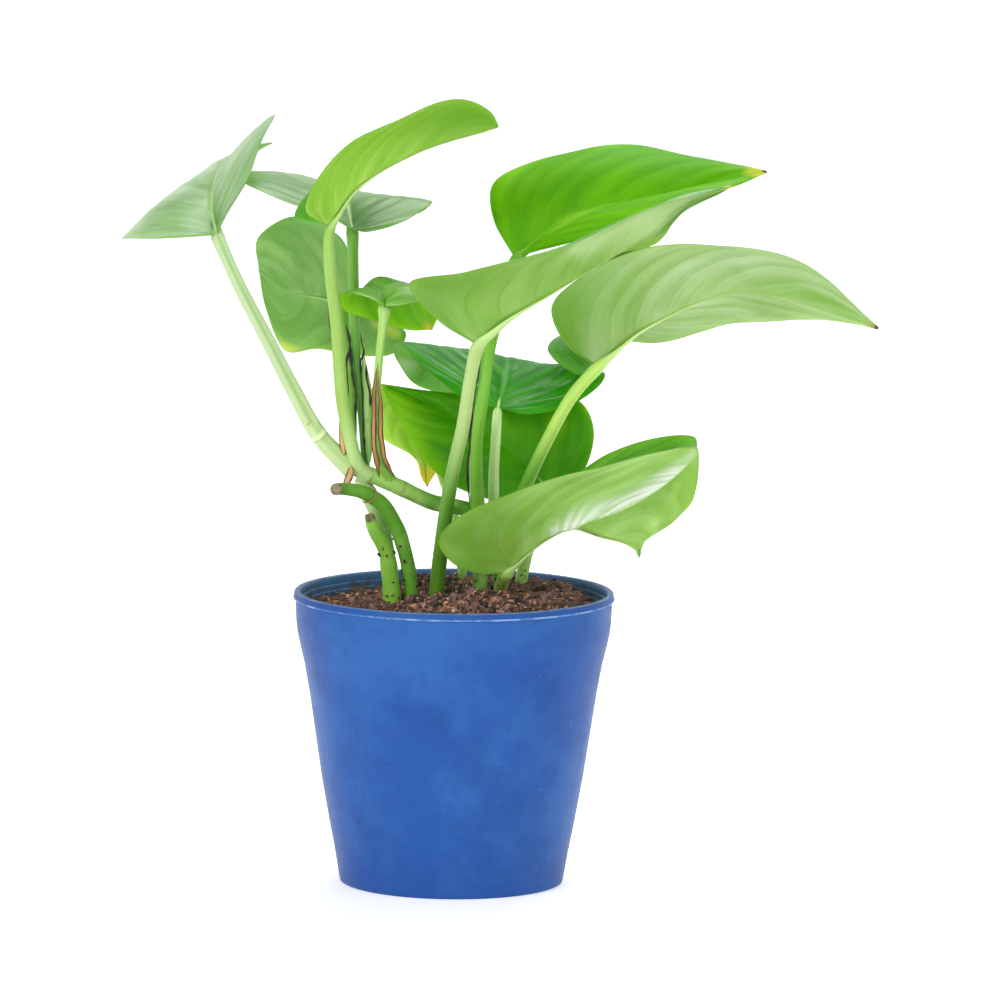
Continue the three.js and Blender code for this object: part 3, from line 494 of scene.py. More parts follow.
# Vines, each a path, its radii and a scale for them, its nodes, and whether its end is cut. thick is one
# swelling, narrow thins the end, and torn is where the torn skin begins.
PLAIN_VINE = {"cut": False, "thick": (0, 0, 1), "narrow": 0, "torn": 0.985}
VINES = {
    "main_vine": {
        "path": [(0.0080, 0.0060, 0.0890), (0.0080, 0.0050, 0.1035), (0.0068, 0.0040, 0.1146),
            (-0.0075, 0.0010, 0.1190), (-0.0175, -0.0010, 0.1238), (-0.0315, -0.0030, 0.1300)],
        "radii": (0.0024, 0.0022), "nodes": [0.13, 0.44, 0.79], "scale": (0.95, 1.12),
        "green": shades((150, 194, 88), (184, 214, 132), (80, 140, 34)), "darkens": (0.58, 0.90),
        "stands_for": "main_vine",
    },
    "side_vine": {
        "path": [(-0.0132, 0.0000, 0.0890), (-0.0139, -0.0003, 0.0961), (-0.0148, -0.0010, 0.1012),
            (-0.0174, -0.0022, 0.1099), (-0.0204, -0.0036, 0.1156), (-0.0229, -0.0054, 0.1193),
            (-0.0260, -0.0080, 0.1217), (-0.0293, -0.0108, 0.1236), (-0.0330, -0.0130, 0.1245),
            (-0.0354, -0.0158, 0.1250), (-0.0366, -0.0192, 0.1253)],
        "radii": (0.0021, 0.0017), "nodes": [0.30, 0.62], "cut": True, "scale": (1.04, 1.08),
        "thick": (0.62, 0.22, 0.24), "torn": 0.985,
        "green": shades((88, 146, 40), (124, 178, 66), (90, 152, 36)), "darkens": (0.62, 0.9),
        "stands_for": "side_vine",
    },
    "cut_stub": {
        "path": [(-0.0193, -0.0020, 0.0890), (-0.0203, -0.0024, 0.0991), (-0.0212, -0.0032, 0.1038),
            (-0.0229, -0.0042, 0.1075), (-0.0245, -0.0050, 0.1103), (-0.0257, -0.0058, 0.1129),
            (-0.0265, -0.0062, 0.1157)],
        "radii": (0.0024, 0.0023), "nodes": [0.55], "cut": True, "scale": (1.30, 0.88), "torn": 0.966,
        "narrow": 0.24, "green": shades((110, 168, 46), (146, 196, 74), (126, 182, 50)),
        "darkens": (0.2, 0.7), "stands_for": "cut_stub",
    },
    "back_vine": {
        "nodes": [0.35], "scale": (1.0, 1.15),
        "path": [(-0.0190, 0.0050, 0.0890), (-0.0201, 0.0048, 0.0980), (-0.0212, 0.0042, 0.1048),
            (-0.0236, 0.0032, 0.1130), (-0.0270, 0.0015, 0.1212), (-0.0288, 0.0000, 0.1262)],
        "radii": (0.0018, 0.0022), "green": shades((190, 216, 150), (206, 226, 172), (116, 172, 60)),
        "darkens": (0.55, 0.95),
    },
}

# Dried sheaths, each a path, a width, a seed for its ragged edge, how raggedly it is torn, the share of its
# length over which it widens, and a tone.
PLAIN_SHEATH = {"ragged": 0.16, "taper": 0.35}
SHEATHS = {
    "small_left": {
        "path": [(-0.0241, -0.0134, 0.1640), (-0.0248, -0.0132, 0.1596), (-0.0252, -0.0128, 0.1539),
            (-0.0252, -0.0122, 0.1465), (-0.0251, -0.0112, 0.1388), (-0.0244, -0.0096, 0.1333),
            (-0.0237, -0.0078, 0.1293), (-0.0234, -0.0064, 0.1273)],
        "width": 0.0017, "seed": 3, "tone": "brown", "stands_for": "sheath_small_left",
    },
    "small_right": {
        "path": [(-0.0239, -0.0136, 0.1612), (-0.0236, -0.0131, 0.1550), (-0.0233, -0.0125, 0.1492),
            (-0.0227, -0.0108, 0.1388), (-0.0216, -0.0088, 0.1332), (-0.0198, -0.0066, 0.1292),
            (-0.0183, -0.0052, 0.1270)],
        "width": 0.0015, "seed": 4, "tone": "brown", "stands_for": "sheath_small_right",
    },
    "top_margin": {
        "path": [(-0.0397, -0.0170, 0.1816), (-0.0386, -0.0155, 0.1743), (-0.0377, -0.0130, 0.1647),
            (-0.0365, -0.0105, 0.1535), (-0.0356, -0.0085, 0.1430), (-0.0347, -0.0075, 0.1345)],
        "width": 0.0007, "seed": 11, "tone": "brown", "taper": 0.1,
    },
    "top_torn_bit": {
        "path": [(-0.0357, -0.0086, 0.1443), (-0.0352, -0.0082, 0.1392), (-0.0344, -0.0076, 0.1342)],
        "width": 0.0016, "seed": 12, "tone": "tan",
    },
    "back_left_black": {
        "path": [(-0.0343, 0.0040, 0.1743), (-0.0334, 0.0036, 0.1696), (-0.0330, 0.0032, 0.1653),
            (-0.0322, 0.0024, 0.1592), (-0.0313, 0.0012, 0.1521), (-0.0307, -0.0010, 0.1415)],
        "width": 0.0008, "seed": 13, "tone": "black", "taper": 0.12, "ragged": 0.5,
    },
    "back_left_fork": {
        "path": [(-0.0327, 0.0030, 0.1675), (-0.0338, 0.0026, 0.1638), (-0.0338, 0.0016, 0.1567),
            (-0.0335, 0.0006, 0.1500)],
        "width": 0.0006, "seed": 14, "tone": "black", "taper": 0.1, "ragged": 0.5,
    },
    "back_left_brown": {
        "path": [(-0.0297, 0.0050, 0.1711), (-0.0293, 0.0048, 0.1673), (-0.0287, 0.0044, 0.1652),
            (-0.0296, 0.0040, 0.1621), (-0.0292, 0.0028, 0.1523), (-0.0286, 0.0008, 0.1413),
            (-0.0277, -0.0015, 0.1313)],
        "width": 0.0006, "seed": 15, "tone": "black", "taper": 0.1, "ragged": 0.45,
    },
    "back_left_outer": {
        "path": [(-0.0280, 0.0040, 0.1618), (-0.0277, 0.0032, 0.1566), (-0.0268, 0.0024, 0.1517),
            (-0.0267, 0.0018, 0.1480)],
        "width": 0.0007, "seed": 16, "tone": "black", "taper": 0.1, "ragged": 0.5,
    },
    "back_left_wing": {
        "path": [(-0.0289, 0.0052, 0.1657), (-0.0282, 0.0044, 0.1590), (-0.0277, 0.0030, 0.1504),
            (-0.0274, 0.0014, 0.1412), (-0.0271, 0.0002, 0.1351), (-0.0269, -0.0008, 0.1302)],
        "width": 0.0029, "seed": 17, "tone": "green", "taper": 0.3, "ragged": 0.05,
    },
    "upper_right_margin": {
        "path": [(0.0076, -0.0055, 0.1668), (0.0068, -0.0062, 0.1606), (0.0056, -0.0062, 0.1534),
            (0.0049, -0.0052, 0.1455), (0.0044, -0.0038, 0.1375), (0.0038, -0.0024, 0.1295),
            (0.0040, -0.0010, 0.1237), (0.0046, 0.0004, 0.1172)],
        "width": 0.0007, "seed": 18, "tone": "black", "taper": 0.15, "ragged": 0.3,
    },
    "vine_flap": {
        "path": [(-0.0322, -0.0070, 0.1310), (-0.0325, -0.0076, 0.1286), (-0.0334, -0.0080, 0.1264),
            (-0.0340, -0.0084, 0.1246)],
        "width": 0.0022, "seed": 19, "tone": "tan", "taper": 0.2,
    },
    "side_vine_ring": {
        "path": [(-0.0275, -0.0102, 0.1264), (-0.0260, -0.0106, 0.1256), (-0.0243, -0.0110, 0.1240),
            (-0.0246, -0.0112, 0.1219), (-0.0264, -0.0114, 0.1204), (-0.0281, -0.0114, 0.1203),
            (-0.0295, -0.0114, 0.1209)],
        "width": 0.00045, "seed": 20, "tone": "brown", "taper": 0.15,
    },
}
SHEATH_TONES = {
    "brown": shades((126, 84, 32), (174, 132, 66), (42, 24, 10)),
    "black": shades((20, 14, 10), (58, 38, 20), (8, 6, 4)),
    "tan": shades((180, 142, 84), (206, 172, 116), (110, 72, 34)),
    "green": shades((156, 196, 104), (178, 210, 130), (130, 174, 78)),
}


# Curves and grids


def catmull(points, samples=48):
    """Centripetal Catmull-Rom: each span between two points bends by the points before and after it, with
    knots spaced by the square root of the distance."""
    points = np.array(points, float)
    full = np.vstack([2 * points[0] - points[1], points, 2 * points[-1] - points[-2]])
    knots = np.concatenate([[0], np.cumsum(np.linalg.norm(np.diff(full, axis=0), axis=1) ** 0.5)])
    spans = []
    for i in range(1, len(full) - 2):
        k0, k1, k2, k3 = knots[i - 1:i + 3]
        p0, p1, p2, p3 = full[i - 1:i + 3]
        k = np.linspace(k1, k2, samples, endpoint=False)[:, None]
        a1 = (k1 - k) / (k1 - k0) * p0 + (k - k0) / (k1 - k0) * p1
        a2 = (k2 - k) / (k2 - k1) * p1 + (k - k1) / (k2 - k1) * p2
        a3 = (k3 - k) / (k3 - k2) * p2 + (k - k2) / (k3 - k2) * p3
        b1 = (k2 - k) / (k2 - k0) * a1 + (k - k0) / (k2 - k0) * a2
        b2 = (k3 - k) / (k3 - k1) * a2 + (k - k1) / (k3 - k1) * a3
        spans.append((k2 - k) / (k2 - k1) * b1 + (k - k1) / (k2 - k1) * b2)
    return np.vstack(spans + [points[-1:]])


class Curve:
    """A smooth curve through points, read by its share of length."""

    def __init__(self, points):
        self.places = catmull(points)
        steps = np.linalg.norm(np.diff(self.places, axis=0), axis=1)
        self.lengths = np.concatenate([[0], np.cumsum(steps)])
        self.length = self.lengths[-1]

    def at(self, share):
        """The points at shares of the length."""
        distance = np.clip(share, 0, 1) * self.length
        return np.stack([np.interp(distance, self.lengths, self.places[:, k]) for k in range(3)], -1)

    def along(self, share, step=0.01):
        """The directions there, each of length 1."""
        return unit(self.at(np.asarray(share) + step) - self.at(np.asarray(share) - step))


def unit(vectors):
    """Vectors brought to length 1."""
    return vectors / np.maximum(np.linalg.norm(vectors, axis=-1, keepdims=True), 1e-12)


def smoothstep(low, high, x):
    """Cubic step: 0 below low, 1 above high, 3s squared minus 2s cubed between."""
    s = np.clip((x - low) / (high - low), 0, 1)
    return s * s * (3 - 2 * s)


def bump(x, centre, width):
    """Bell curve of height 1."""
    return np.exp(-(((x - centre) / width) ** 2))


def round_turn(count):
    """Angles of a full turn, in equal steps."""
    return np.linspace(0, 2 * np.pi, count, endpoint=False)


def ripple(x, y, z, size, seed, waves=14):
    """Smooth noise from -1 to 1: the mean of sine waves of random direction, pace and start, whose length
    is about size."""
    draw = np.random.default_rng(seed)
    total = 0
    for _ in range(waves):
        direction = unit(draw.normal(size=3))
        pace = 2 * np.pi / (size * draw.uniform(0.6, 1.6))
        start = draw.uniform(0, 2 * np.pi)
        total = total + np.sin(pace * (direction[0] * x + direction[1] * y + direction[2] * z) + start)
    return total / waves * 2


def ring_faces(rows, count):
    """Four-sided faces that join each ring of points to the next."""
    index = np.arange(rows * count).reshape(rows, count)
    near, far = index[:-1], index[1:]
    return np.stack([near, np.roll(near, -1, 1), np.roll(far, -1, 1), far], -1).reshape(-1, 4)


def circles(radius, height, count):
    """Level rings of points round the Z axis, one for each radius and height."""
    turn = round_turn(count)
    level = np.broadcast_to(np.reshape(height, (-1, 1)), (len(radius), count))
    return np.stack([np.outer(radius, np.cos(turn)), np.outer(radius, np.sin(turn)), level], -1)


def skin(name, rings, tags=None, uv=None):
    """A closed mesh over rings of points: rings[i, j] is point j of ring i. Neighbouring rings are joined
    by four-sided faces, and the two end rings are filled. Its faces point outwards."""
    rows, count = rings.shape[:2]
    quads = ring_faces(rows, count)
    flat = rings.reshape(-1, 3)
    corner = [flat[quads[:, k]] for k in range(4)]
    volume = np.einsum("ij,ij->i", corner[0], np.cross(corner[1], corner[2])).sum()
    volume += np.einsum("ij,ij->i", corner[0], np.cross(corner[2], corner[3])).sum()
    caps = [np.arange(count)[::-1], np.arange(count) + (rows - 1) * count]
    if volume < 0:
        quads = quads[:, ::-1]
        caps = [cap[::-1] for cap in caps]
    faces = quads.tolist() + [cap.tolist() for cap in caps]
    mesh = bpy.data.meshes.new(name)
    mesh.from_pydata(flat, [], faces)
    mesh.polygons.foreach_set("use_smooth", np.ones(len(faces), bool))
    if uv is not None:
        corners = np.empty(len(mesh.loops), np.int32)
        mesh.loops.foreach_get("vertex_index", corners)
        layer = mesh.uv_layers.new(name="UVMap")
        layer.data.foreach_set("uv", uv.reshape(-1, 2)[corners].ravel())
    for tag, values in (tags or {}).items():
        attribute = mesh.attributes.new(tag, "FLOAT", "POINT")
        attribute.data.foreach_set("value", np.asarray(values, float).ravel())
    mesh.validate()
    mesh.update()
    return add(name, mesh)


def bark(name, rings, share):
    """The skin of a stem or strip. Its finish reads each point's share of the length, up, and, as the
    second surface coordinate, its share of the way round."""
    up = np.broadcast_to(share[:, None], rings.shape[:2])
    around = np.broadcast_to(np.linspace(0, 1, rings.shape[1], endpoint=False)[None], rings.shape[:2])
    return skin(name, rings, {"up": up}, np.stack([up, around], -1))


def add(name, mesh):
    piece = bpy.data.objects.new(name, mesh)
    bpy.context.scene.collection.objects.link(piece)
    return piece


def place(piece, material, slot, *nodes):
    """Gives a piece its material, makes it ride on the part and stand for its CAD nodes."""
    piece.data.materials.append(material)
    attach(piece, "root")
    if nodes:
        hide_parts(*nodes)
    return piece


def smoothed(points, passes):
    """Each inner point moved to the mean of itself and its two neighbours, a number of times."""
    for _ in range(passes):
        inner = (points[:-2] + points[1:-1] + points[2:]) / 3
        points = np.vstack([points[:1], inner, points[-1:]])
    return points


def tube_rings(centres, radii, sides, groove=None, depth=0.0, squash=1.0, face=None):
    """Circles of each radius, square to the path through centres. A groove is a dent of the given depth,
    as a share of the radius, on the side that looks along groove. squash flattens the circles along
    face's own direction."""
    tangents = unit(np.gradient(centres, axis=0))
    spread = centres - centres.mean(0)
    steady = np.linalg.svd(spread, full_matrices=False)[2][-1] if face is None else np.array(face, float)
    side = unit(steady - tangents * (tangents @ steady)[:, None])
    other = np.cross(tangents, side)
    turn = round_turn(sides)[None, :, None]
    radial = np.cos(turn) * side[:, None] * squash + np.sin(turn) * other[:, None]
    shape = np.ones(radial.shape[:2])
    if groove is not None:
        facing = np.einsum("ijk,k->ij", unit(radial), unit(np.array(groove, float)))
        shape = 1 - depth * smoothstep(0.80, 1.0, facing) + 0.35 * depth * bump(facing, 0.72, 0.12)
    return centres[:, None] + radial * (np.asarray(radii)[:, None] * shape)[..., None]


# Leaf blades


def crease_distance(fold, t, s):
    """How far a point lies past the crease, in shares of the length. The crease leaves the midrib at its
    start and bends round to the margin. The distance is taken square to it: the way past it, divided by
    the root of 1 and the slope squared. The slope counts three times, because a half blade is about a
    third as wide as it is long."""
    past = t - fold["start"] - fold["reach"] * (1 - (1 - s) ** fold["bend"])
    slope = fold["reach"] * fold["bend"] * (1 - s) ** (fold["bend"] - 1)
    return past / np.sqrt(1 + (3 * slope) ** 2)


def crease_lift(fold, t, s):
    """A fold on the right half: a hollow just before the crease, then a crest that rises steeply and
    drops at once. It fades out at the midrib and at the margin."""
    past = crease_distance(fold, t, s)
    crest = smoothstep(-0.07, 0, past) * (1 - smoothstep(0, fold["fall"], past))
    hollow = bump(past, -0.085, 0.045)
    behind = fold["behind"] * smoothstep(0, fold["fall"], past) * np.exp(-np.maximum(past, 0) / 0.12)
    fade = smoothstep(0.0, 0.12, s) * (1 - s ** 8)
    return (fold["hollow"] * hollow - fold["crest"] * crest + behind) * fade


def crease_glare(fold, t, v):
    """Where the painted glare goes: the bright band just before the crease, widest between the midrib and
    the margin, sharp at the crease and soft away from it, and fading at both ends. Only the right half has
    it."""
    side = np.abs(v)
    past = crease_distance(fold, t, side)
    width = 0.042 + 0.15 * side * (1 - side) ** 1.5 - 0.012 * side
    band = smoothstep(-width, -0.35 * width, past) * (1 - smoothstep(-0.004, 0.004, past))
    ends = smoothstep(0.02, 0.12, v) * (1 - 0.7 * smoothstep(0.66, 0.95, v))
    return np.where(v > 0, band * ends, 0)


def blade_sheet(leaf, t, v):
    """The middle surface of a blade. Row t runs from a point of the midrib to the same share t of each
    margin's length, and v goes from -1 at the left margin over 0 at the midrib to 1 at the right one.
    The midrib's point lags behind, so that the rows lean towards the tip. Each half stands up in the
    middle by its arch, the margins wave a little, and smooth noise makes it uneven. Returns the points,
    their unit normals on the upper side and their distance from the midrib."""
    rib = Curve([leaf["base"], *leaf["midrib"], leaf["tip"]])
    centre = rib.at(t ** leaf["lag"])
    along = rib.along(t ** leaf["lag"])
    rise = np.sin(np.pi * t)[:, None]
    halves = []
    for side, turn, arch in (("left", -1, leaf["arch"][0]), ("right", 1, leaf["arch"][1])):
        s = np.abs(v[v < 0] if turn < 0 else v[v >= 0])[None]
        across = Curve([leaf["base"], *leaf[side], leaf["tip"]]).at(t) - centre
        upward = unit(turn * np.cross(across, along))
        wave = leaf["wave"] * np.sin(2 * np.pi * MARGIN_WAVES * t + 2.1 * turn)[:, None]
        lift = arch * 4 * s * (1 - s) * rise + wave * np.sqrt(rise) * s ** 3
        if turn > 0 and leaf["fold"]:
            lift = lift + crease_lift(leaf["fold"], t[:, None], s)
        flat = centre[:, None] + across[:, None] * s[..., None]
        uneven = ripple(flat[..., 0], flat[..., 1], flat[..., 2], UNDULATION_SIZE, int(10 * leaf["seed"]))
        lift = lift + leaf["uneven"] * UNDULATION * uneven * np.sqrt(rise) * np.minimum(s * 4, 1)
        halves.append(flat + upward[:, None] * lift[..., None])
    sheet = np.concatenate(halves, axis=1)
    if leaf["hump"]:
        at, long, over, wide, height = leaf["hump"]
        sheet[..., 2] += height * bump(t, at, long)[:, None] * bump(v, over, wide)[None]
    normals = unit(np.cross(np.gradient(sheet, v, axis=1), np.gradient(sheet, axis=0)))
    distance = np.linalg.norm(sheet - centre[:, None], axis=-1)
    return sheet, normals, distance


def vein_place(t, v):
    """Where the side vein through a point leaves the midrib: its share t, less a lean that grows towards
    the margin. So veins leave aslant, and bend towards the tip."""
    return t - VEIN_LEAN * np.abs(v) ** 1.25 * (1.1 - 0.45 * t)


def zones(spots, t, v):
    """Soft round spots on a blade, added up and held between 0 and 1."""
    total = sum(strength * bump(t, at, long) * bump(v, over, wide)
                for at, over, long, wide, strength in spots)
    return np.clip(total, 0, 1)


def blade(name, leaf):
    """A blade as a flat tube: the upper face from the left margin to the right one, then the lower face
    back. Its half thickness falls as the root of 1 minus v to the sixth, so that both faces meet in a
    sharp margin. The tissue swells between side veins, as a power of a sine's size, and the midrib is a
    groove above."""
    rows, half = leaf["mesh"]
    t = np.linspace(FIRST_ROW, LAST_ROW, rows + 1)
    v = np.sin(np.linspace(-np.pi / 2, np.pi / 2, 2 * half + 1))
    sheet, normals, distance = blade_sheet(leaf, t, v)
    grid_t, grid_v = np.meshgrid(t, v, indexing="ij")
    side = np.abs(grid_v)
    origin = vein_place(grid_t, grid_v)
    phase = leaf["veins"] * origin + np.where(grid_v > 0, 0.4, 0.0)
    swell = np.abs(np.sin(np.pi * phase)) ** 0.7 - 0.6
    fade = np.minimum(side * 5, 1) * (1 - side ** 5) * np.sin(np.pi * grid_t) ** 0.5
    lift = leaf["quilt"] * VEIN_RELIEF * swell * fade
    half_thick = HALF_THICKNESS * np.sqrt(np.clip(1 - side ** 6, 0, 1))
    groove = RIB_GROOVE * bump(distance, 0, RIB_GROOVE_WIDTH) * (1 - 0.6 * grid_t)
    upper = sheet + normals * (lift + half_thick - groove)[..., None]
    lower = sheet + normals * (lift - half_thick)[..., None]

    def both_faces(above, below):
        return np.concatenate([above, below[:, -2:0:-1]], axis=1)

    facing_up = both_faces(np.ones_like(grid_t), np.zeros_like(grid_t))
    facing_up[:, [0, 2 * half]] = 0.5
    glare = crease_glare(leaf["fold"], grid_t, grid_v) if leaf["fold"] else np.zeros_like(grid_t)
    # pale zones: partly variegation of the tissue and partly painted highlights
    cream_and_sheen = zones(leaf["cream_and_sheen"], grid_t, grid_v)
    # darker zones of painted shade
    painted_shade = zones(leaf["painted_shade"], grid_t, grid_v)
    maps = {"cream_and_sheen": cream_and_sheen, "painted_shade": painted_shade, "from_rib": distance, "vein_at": origin, "painted_glare": glare}
    tags = {"upper": facing_up, **{tag: both_faces(values, values) for tag, values in maps.items()}}
    place_on_sheet = np.stack([grid_t, 0.5 + 0.5 * grid_v], -1)
    return skin("blade_" + name, both_faces(upper, lower), tags, both_faces(place_on_sheet, place_on_sheet))


# Petioles, vines and sheaths


def stem_path(stem):
    """A stem's path, led on down into the soil, or else into the main vine where it starts beside it."""
    path = [np.array(point) for point in stem["path"]]
    if stem["planted"]:
        return [path[0] - np.array([0, 0, BURIED]), *path]
    axis = Curve(VINE_AXIS).at(np.linspace(0, 1, 400))
    apart = np.linalg.norm(axis - path[0], axis=1)
    if apart.min() > BESIDE_VINE:
        return [axis[np.argmin(apart)] - np.array([0, 0, VINE_DIP]), *path]
    return path


def petiole(name, stem, leaf):
    """A petiole that goes on under its blade as the midrib: one tube from the vine or the soil to near
    the leaf's tip. It is round, swells at its foot, widens like a funnel along the blade where that
    begins, and goes on as a low flat ridge that thins towards the tip."""
    foot = Curve(stem_path(stem))
    count = int(foot.length / STEM_STEP)
    climb = np.linspace(0, 1, count)
    rib = Curve([leaf["base"], *leaf["midrib"], leaf["tip"]])
    rib_count = int(RIB_REACH * rib.length / STEM_STEP)
    reach = np.linspace(0, RIB_REACH, rib_count + 1)[1:]
    rows = np.clip(reach, 0.03, 0.97) ** (1 / leaf["lag"])
    sheet, normals, _ = blade_sheet(leaf, rows, np.linspace(-0.2, 0.2, 5))
    low, high = stem["radii"]
    thin = high * (0.10 + 0.85 * (1 - reach) ** stem["rib_power"])
    drop = (thin * 0.5 + RIB_SINK) * smoothstep(0, 0.07, reach)
    under = rib.at(reach) - normals[:, 2] * drop[:, None]
    centres = smoothed(np.vstack([foot.at(climb)[:-1], under]), STEM_SMOOTHING)
    radii = np.concatenate([low + (high - low) * climb[:-1], thin])
    share = np.concatenate([climb[:-1], 1 + reach])
    extra = FOOT_SWELL * bump(share, 0, 0.05)
    for at, height, width in stem["swells"]:
        extra = extra + height * bump(share, at, width)
    depth = stem["depth"] * smoothstep(0, 0.03, share - stem["groove_from"])[:, None]
    rings = tube_rings(centres, radii * (1 + extra), STEM_SIDES, stem["groove"], depth)
    blade_row = np.concatenate([np.zeros(count - 1, int), np.arange(rib_count)])
    lateral = unit(sheet[:, 3] - sheet[:, 1])[blade_row]
    normal = normals[:, 2][blade_row]
    offset = rings - centres[:, None]
    funnel = stem["funnel"] * np.where(share < 1, bump(share, 1, 0.06), bump(share, 1, 0.14))
    flat = 0.5 * smoothstep(0.98, 1.10, share)
    sideways = np.einsum("ijk,ik->ij", offset, lateral)[..., None] * lateral[:, None]
    upright = np.einsum("ijk,ik->ij", offset, normal)[..., None] * normal[:, None]
    rings = rings + funnel[:, None, None] * sideways - flat[:, None, None] * upright
    return bark("petiole_and_rib_" + name, rings, share)


def vine(name, stem):
    """A vine: a round tube with low swollen rings at its nodes. Its far end is closed by smaller and
    smaller rings: a round end, or a torn face whose rim stands out by smooth noise round the stem."""
    start = np.array(stem["path"][0])
    path = Curve([start - np.array([0, 0, BURIED]), *stem["path"]])
    share = np.linspace(0, 1, int(path.length / STEM_STEP))
    low, high = np.array(stem["radii"]) * stem["scale"]
    at, height, width = stem["thick"]
    swell = sum(NODE_SWELL * bump((share - node) * path.length, 0, NODE_WIDTH) for node in stem["nodes"])
    swell = swell + height * bump(share, at, width) - stem["narrow"] * smoothstep(0.88, 1, share)
    uneven = VINE_UNEVEN * ripple(share * path.length, 0, 0, VINE_UNEVEN_SIZE, 5)
    rings = tube_rings(path.at(share), (low + (high - low) * share) * (1 + swell + uneven), STEM_SIDES)
    out = path.along(1.0)
    if stem["cut"]:
        turn = round_turn(STEM_SIDES)
        jagged = CUT_RAG * ripple(np.cos(turn), np.sin(turn), 0, 1.1, 6)
        ragged = smoothstep(0.93, 1, share)[:, None] * jagged
        rings = rings + ragged[..., None] * out
    rim = rings[-1]
    middle = rim.mean(0)
    narrowing = np.array(END_RINGS)
    depth = -CUT_HOLLOW * (1 - narrowing) if stem["cut"] else high * 0.8 * (1 - narrowing)
    face = middle + (rim - middle)[None] * narrowing[:, None, None] + out * depth[:, None, None]
    return bark("vine_" + name, np.concatenate([rings, face]), np.concatenate([share, 1 + (1 - narrowing)]))


def sheath(name, strip):
    """A dried sheath: a thin strip along its path. It starts as a point, widens, and has a ragged edge
    from smooth noise."""
    path = Curve(strip["path"])
    share = np.linspace(0, 1, max(12, int(path.length / SHEATH_STEP)))
    ragged = 1 + strip["ragged"] * ripple(share * path.length, 0, 0, SHEATH_RAG_SIZE, strip["seed"], 8)
    start = np.clip(share / strip["taper"], 0.05, 1) ** 0.8
    end = np.clip((1 - share) / 0.16, 0.10, 1) ** 0.7
    half_width = strip["width"] / 2 * np.clip(ragged, 0.4, 1.6) * (start * end)
    sway = SHEATH_SWAY * ripple(share * path.length, 0, 0, SHEATH_SWAY_SIZE, strip["seed"] + 1, 8)
    centres = path.at(share) + sway[:, None] * np.array([1.0, 0.3, 0.0])
    rings = tube_rings(centres, half_width, SHEATH_SIDES, squash=SHEATH_SQUASH, face=SHEATH_FACE)
    return bark("sheath_" + name, rings, share)


# Pot and soil


def fine_profile(points):
    """A profile with extra points on its long stretches."""
    points = np.array(points, float)
    spans = []
    for a, b in zip(points[:-1], points[1:]):
        count = max(1, int(np.linalg.norm(b - a) / PROFILE_STEP))
        spans.append(a + (b - a) * np.linspace(0, 1, count, endpoint=False)[:, None])
    return np.vstack(spans + [points[-1:]])


def pot():
    """The pot's wall, lip and floor: one profile turned about the Z axis, with round drain holes cut
    through the floor."""
    radius, height = fine_profile(POT_OUTSIDE + POT_LIP + POT_INSIDE).T
    shell = skin("nursery_pot", circles(radius, height, POT_SEGMENTS))
    cutters = []
    for k in range(DRAIN_HOLES):
        angle = 2 * np.pi * k / DRAIN_HOLES
        centre = np.array([DRAIN_CIRCLE * np.cos(angle), DRAIN_CIRCLE * np.sin(angle), 0])
        cutters.append(skin("drain_cutter", centre + circles([DRAIN_RADIUS] * 2, DRAIN_CUT, DRAIN_SIDES)))
    for cutter in cutters:
        cut = shell.modifiers.new("drain", "BOOLEAN")
        cut.object = cutter
        cut.solver = "EXACT"
    view = bpy.context.evaluated_depsgraph_get()
    finished = bpy.data.meshes.new_from_object(shell.evaluated_get(view))
    shell.modifiers.clear()
    shell.data = finished
    for cutter in cutters:
        bpy.data.objects.remove(cutter)
    finished.polygons.foreach_set("use_smooth", np.ones(len(finished.polygons), bool))
    finished.set_sharp_from_angle(angle=np.radians(SHARP_ANGLE))
    return shell


def soil_height(x, y):
    """Height of the soil: a round mound, a smooth fall towards the left and right walls, and lumps of
    three sizes that die out at the wall."""
    mound = SOIL_MOUND["height"] * np.exp(-(((x - SOIL_MOUND["x"]) / SOIL_MOUND["width"]) ** 2)
                                          - ((y - SOIL_MOUND["y"]) / SOIL_MOUND["depth"]) ** 2)
    fall = SOIL_FALL * (smoothstep(*LEFT_FALL, -x) + RIGHT_DROP * smoothstep(*RIGHT_FALL, x))
    lumps = sum(height * ripple(x, y, 0, size, seed, waves) for height, size, seed, waves in SOIL_LUMPS)
    calm = 1 - 0.6 * smoothstep(0.85, 1.0, np.hypot(x, y) / SOIL_RADIUS)
    return SOIL_LEVEL + mound - fall + lumps * calm


def soil():
    """The soil as a plug: its lumpy top on a grid of circles, then down the wall to a flat underside."""
    rings = circles(SOIL_RADIUS * np.linspace(0.004, 1, SOIL_RINGS), np.zeros(SOIL_RINGS), SOIL_SEGMENTS)
    x, y = rings[..., 0], rings[..., 1]
    top = np.stack([x, y, soil_height(x, y)], -1)
    walls = [np.stack([share * x[-1], share * y[-1], np.full_like(x[-1], height)], -1)
             for share, height in SOIL_WALL]
    return skin("coir_soil", np.concatenate([top, np.array(walls)]))


def many(name, points, faces):
    """One mesh of many small forms: points[n] are those of form n, and faces are those of one form."""
    count, size = points.shape[:2]
    mesh = bpy.data.meshes.new(name)
    every = faces[None] + (np.arange(count) * size)[:, None, None]
    mesh.from_pydata(points.reshape(-1, 3), [], every.reshape(-1, 4).tolist())
    return mesh


def merge_close(mesh, distance):
    """Joins points that coincide, drops what collapses and turns the faces outwards."""
    form = bmesh.new()
    form.from_mesh(mesh)
    bmesh.ops.remove_doubles(form, verts=form.verts, dist=distance)
    bmesh.ops.dissolve_degenerate(form, edges=form.edges, dist=distance)
    bmesh.ops.recalc_face_normals(form, faces=form.faces)
    form.to_mesh(mesh)
    form.free()


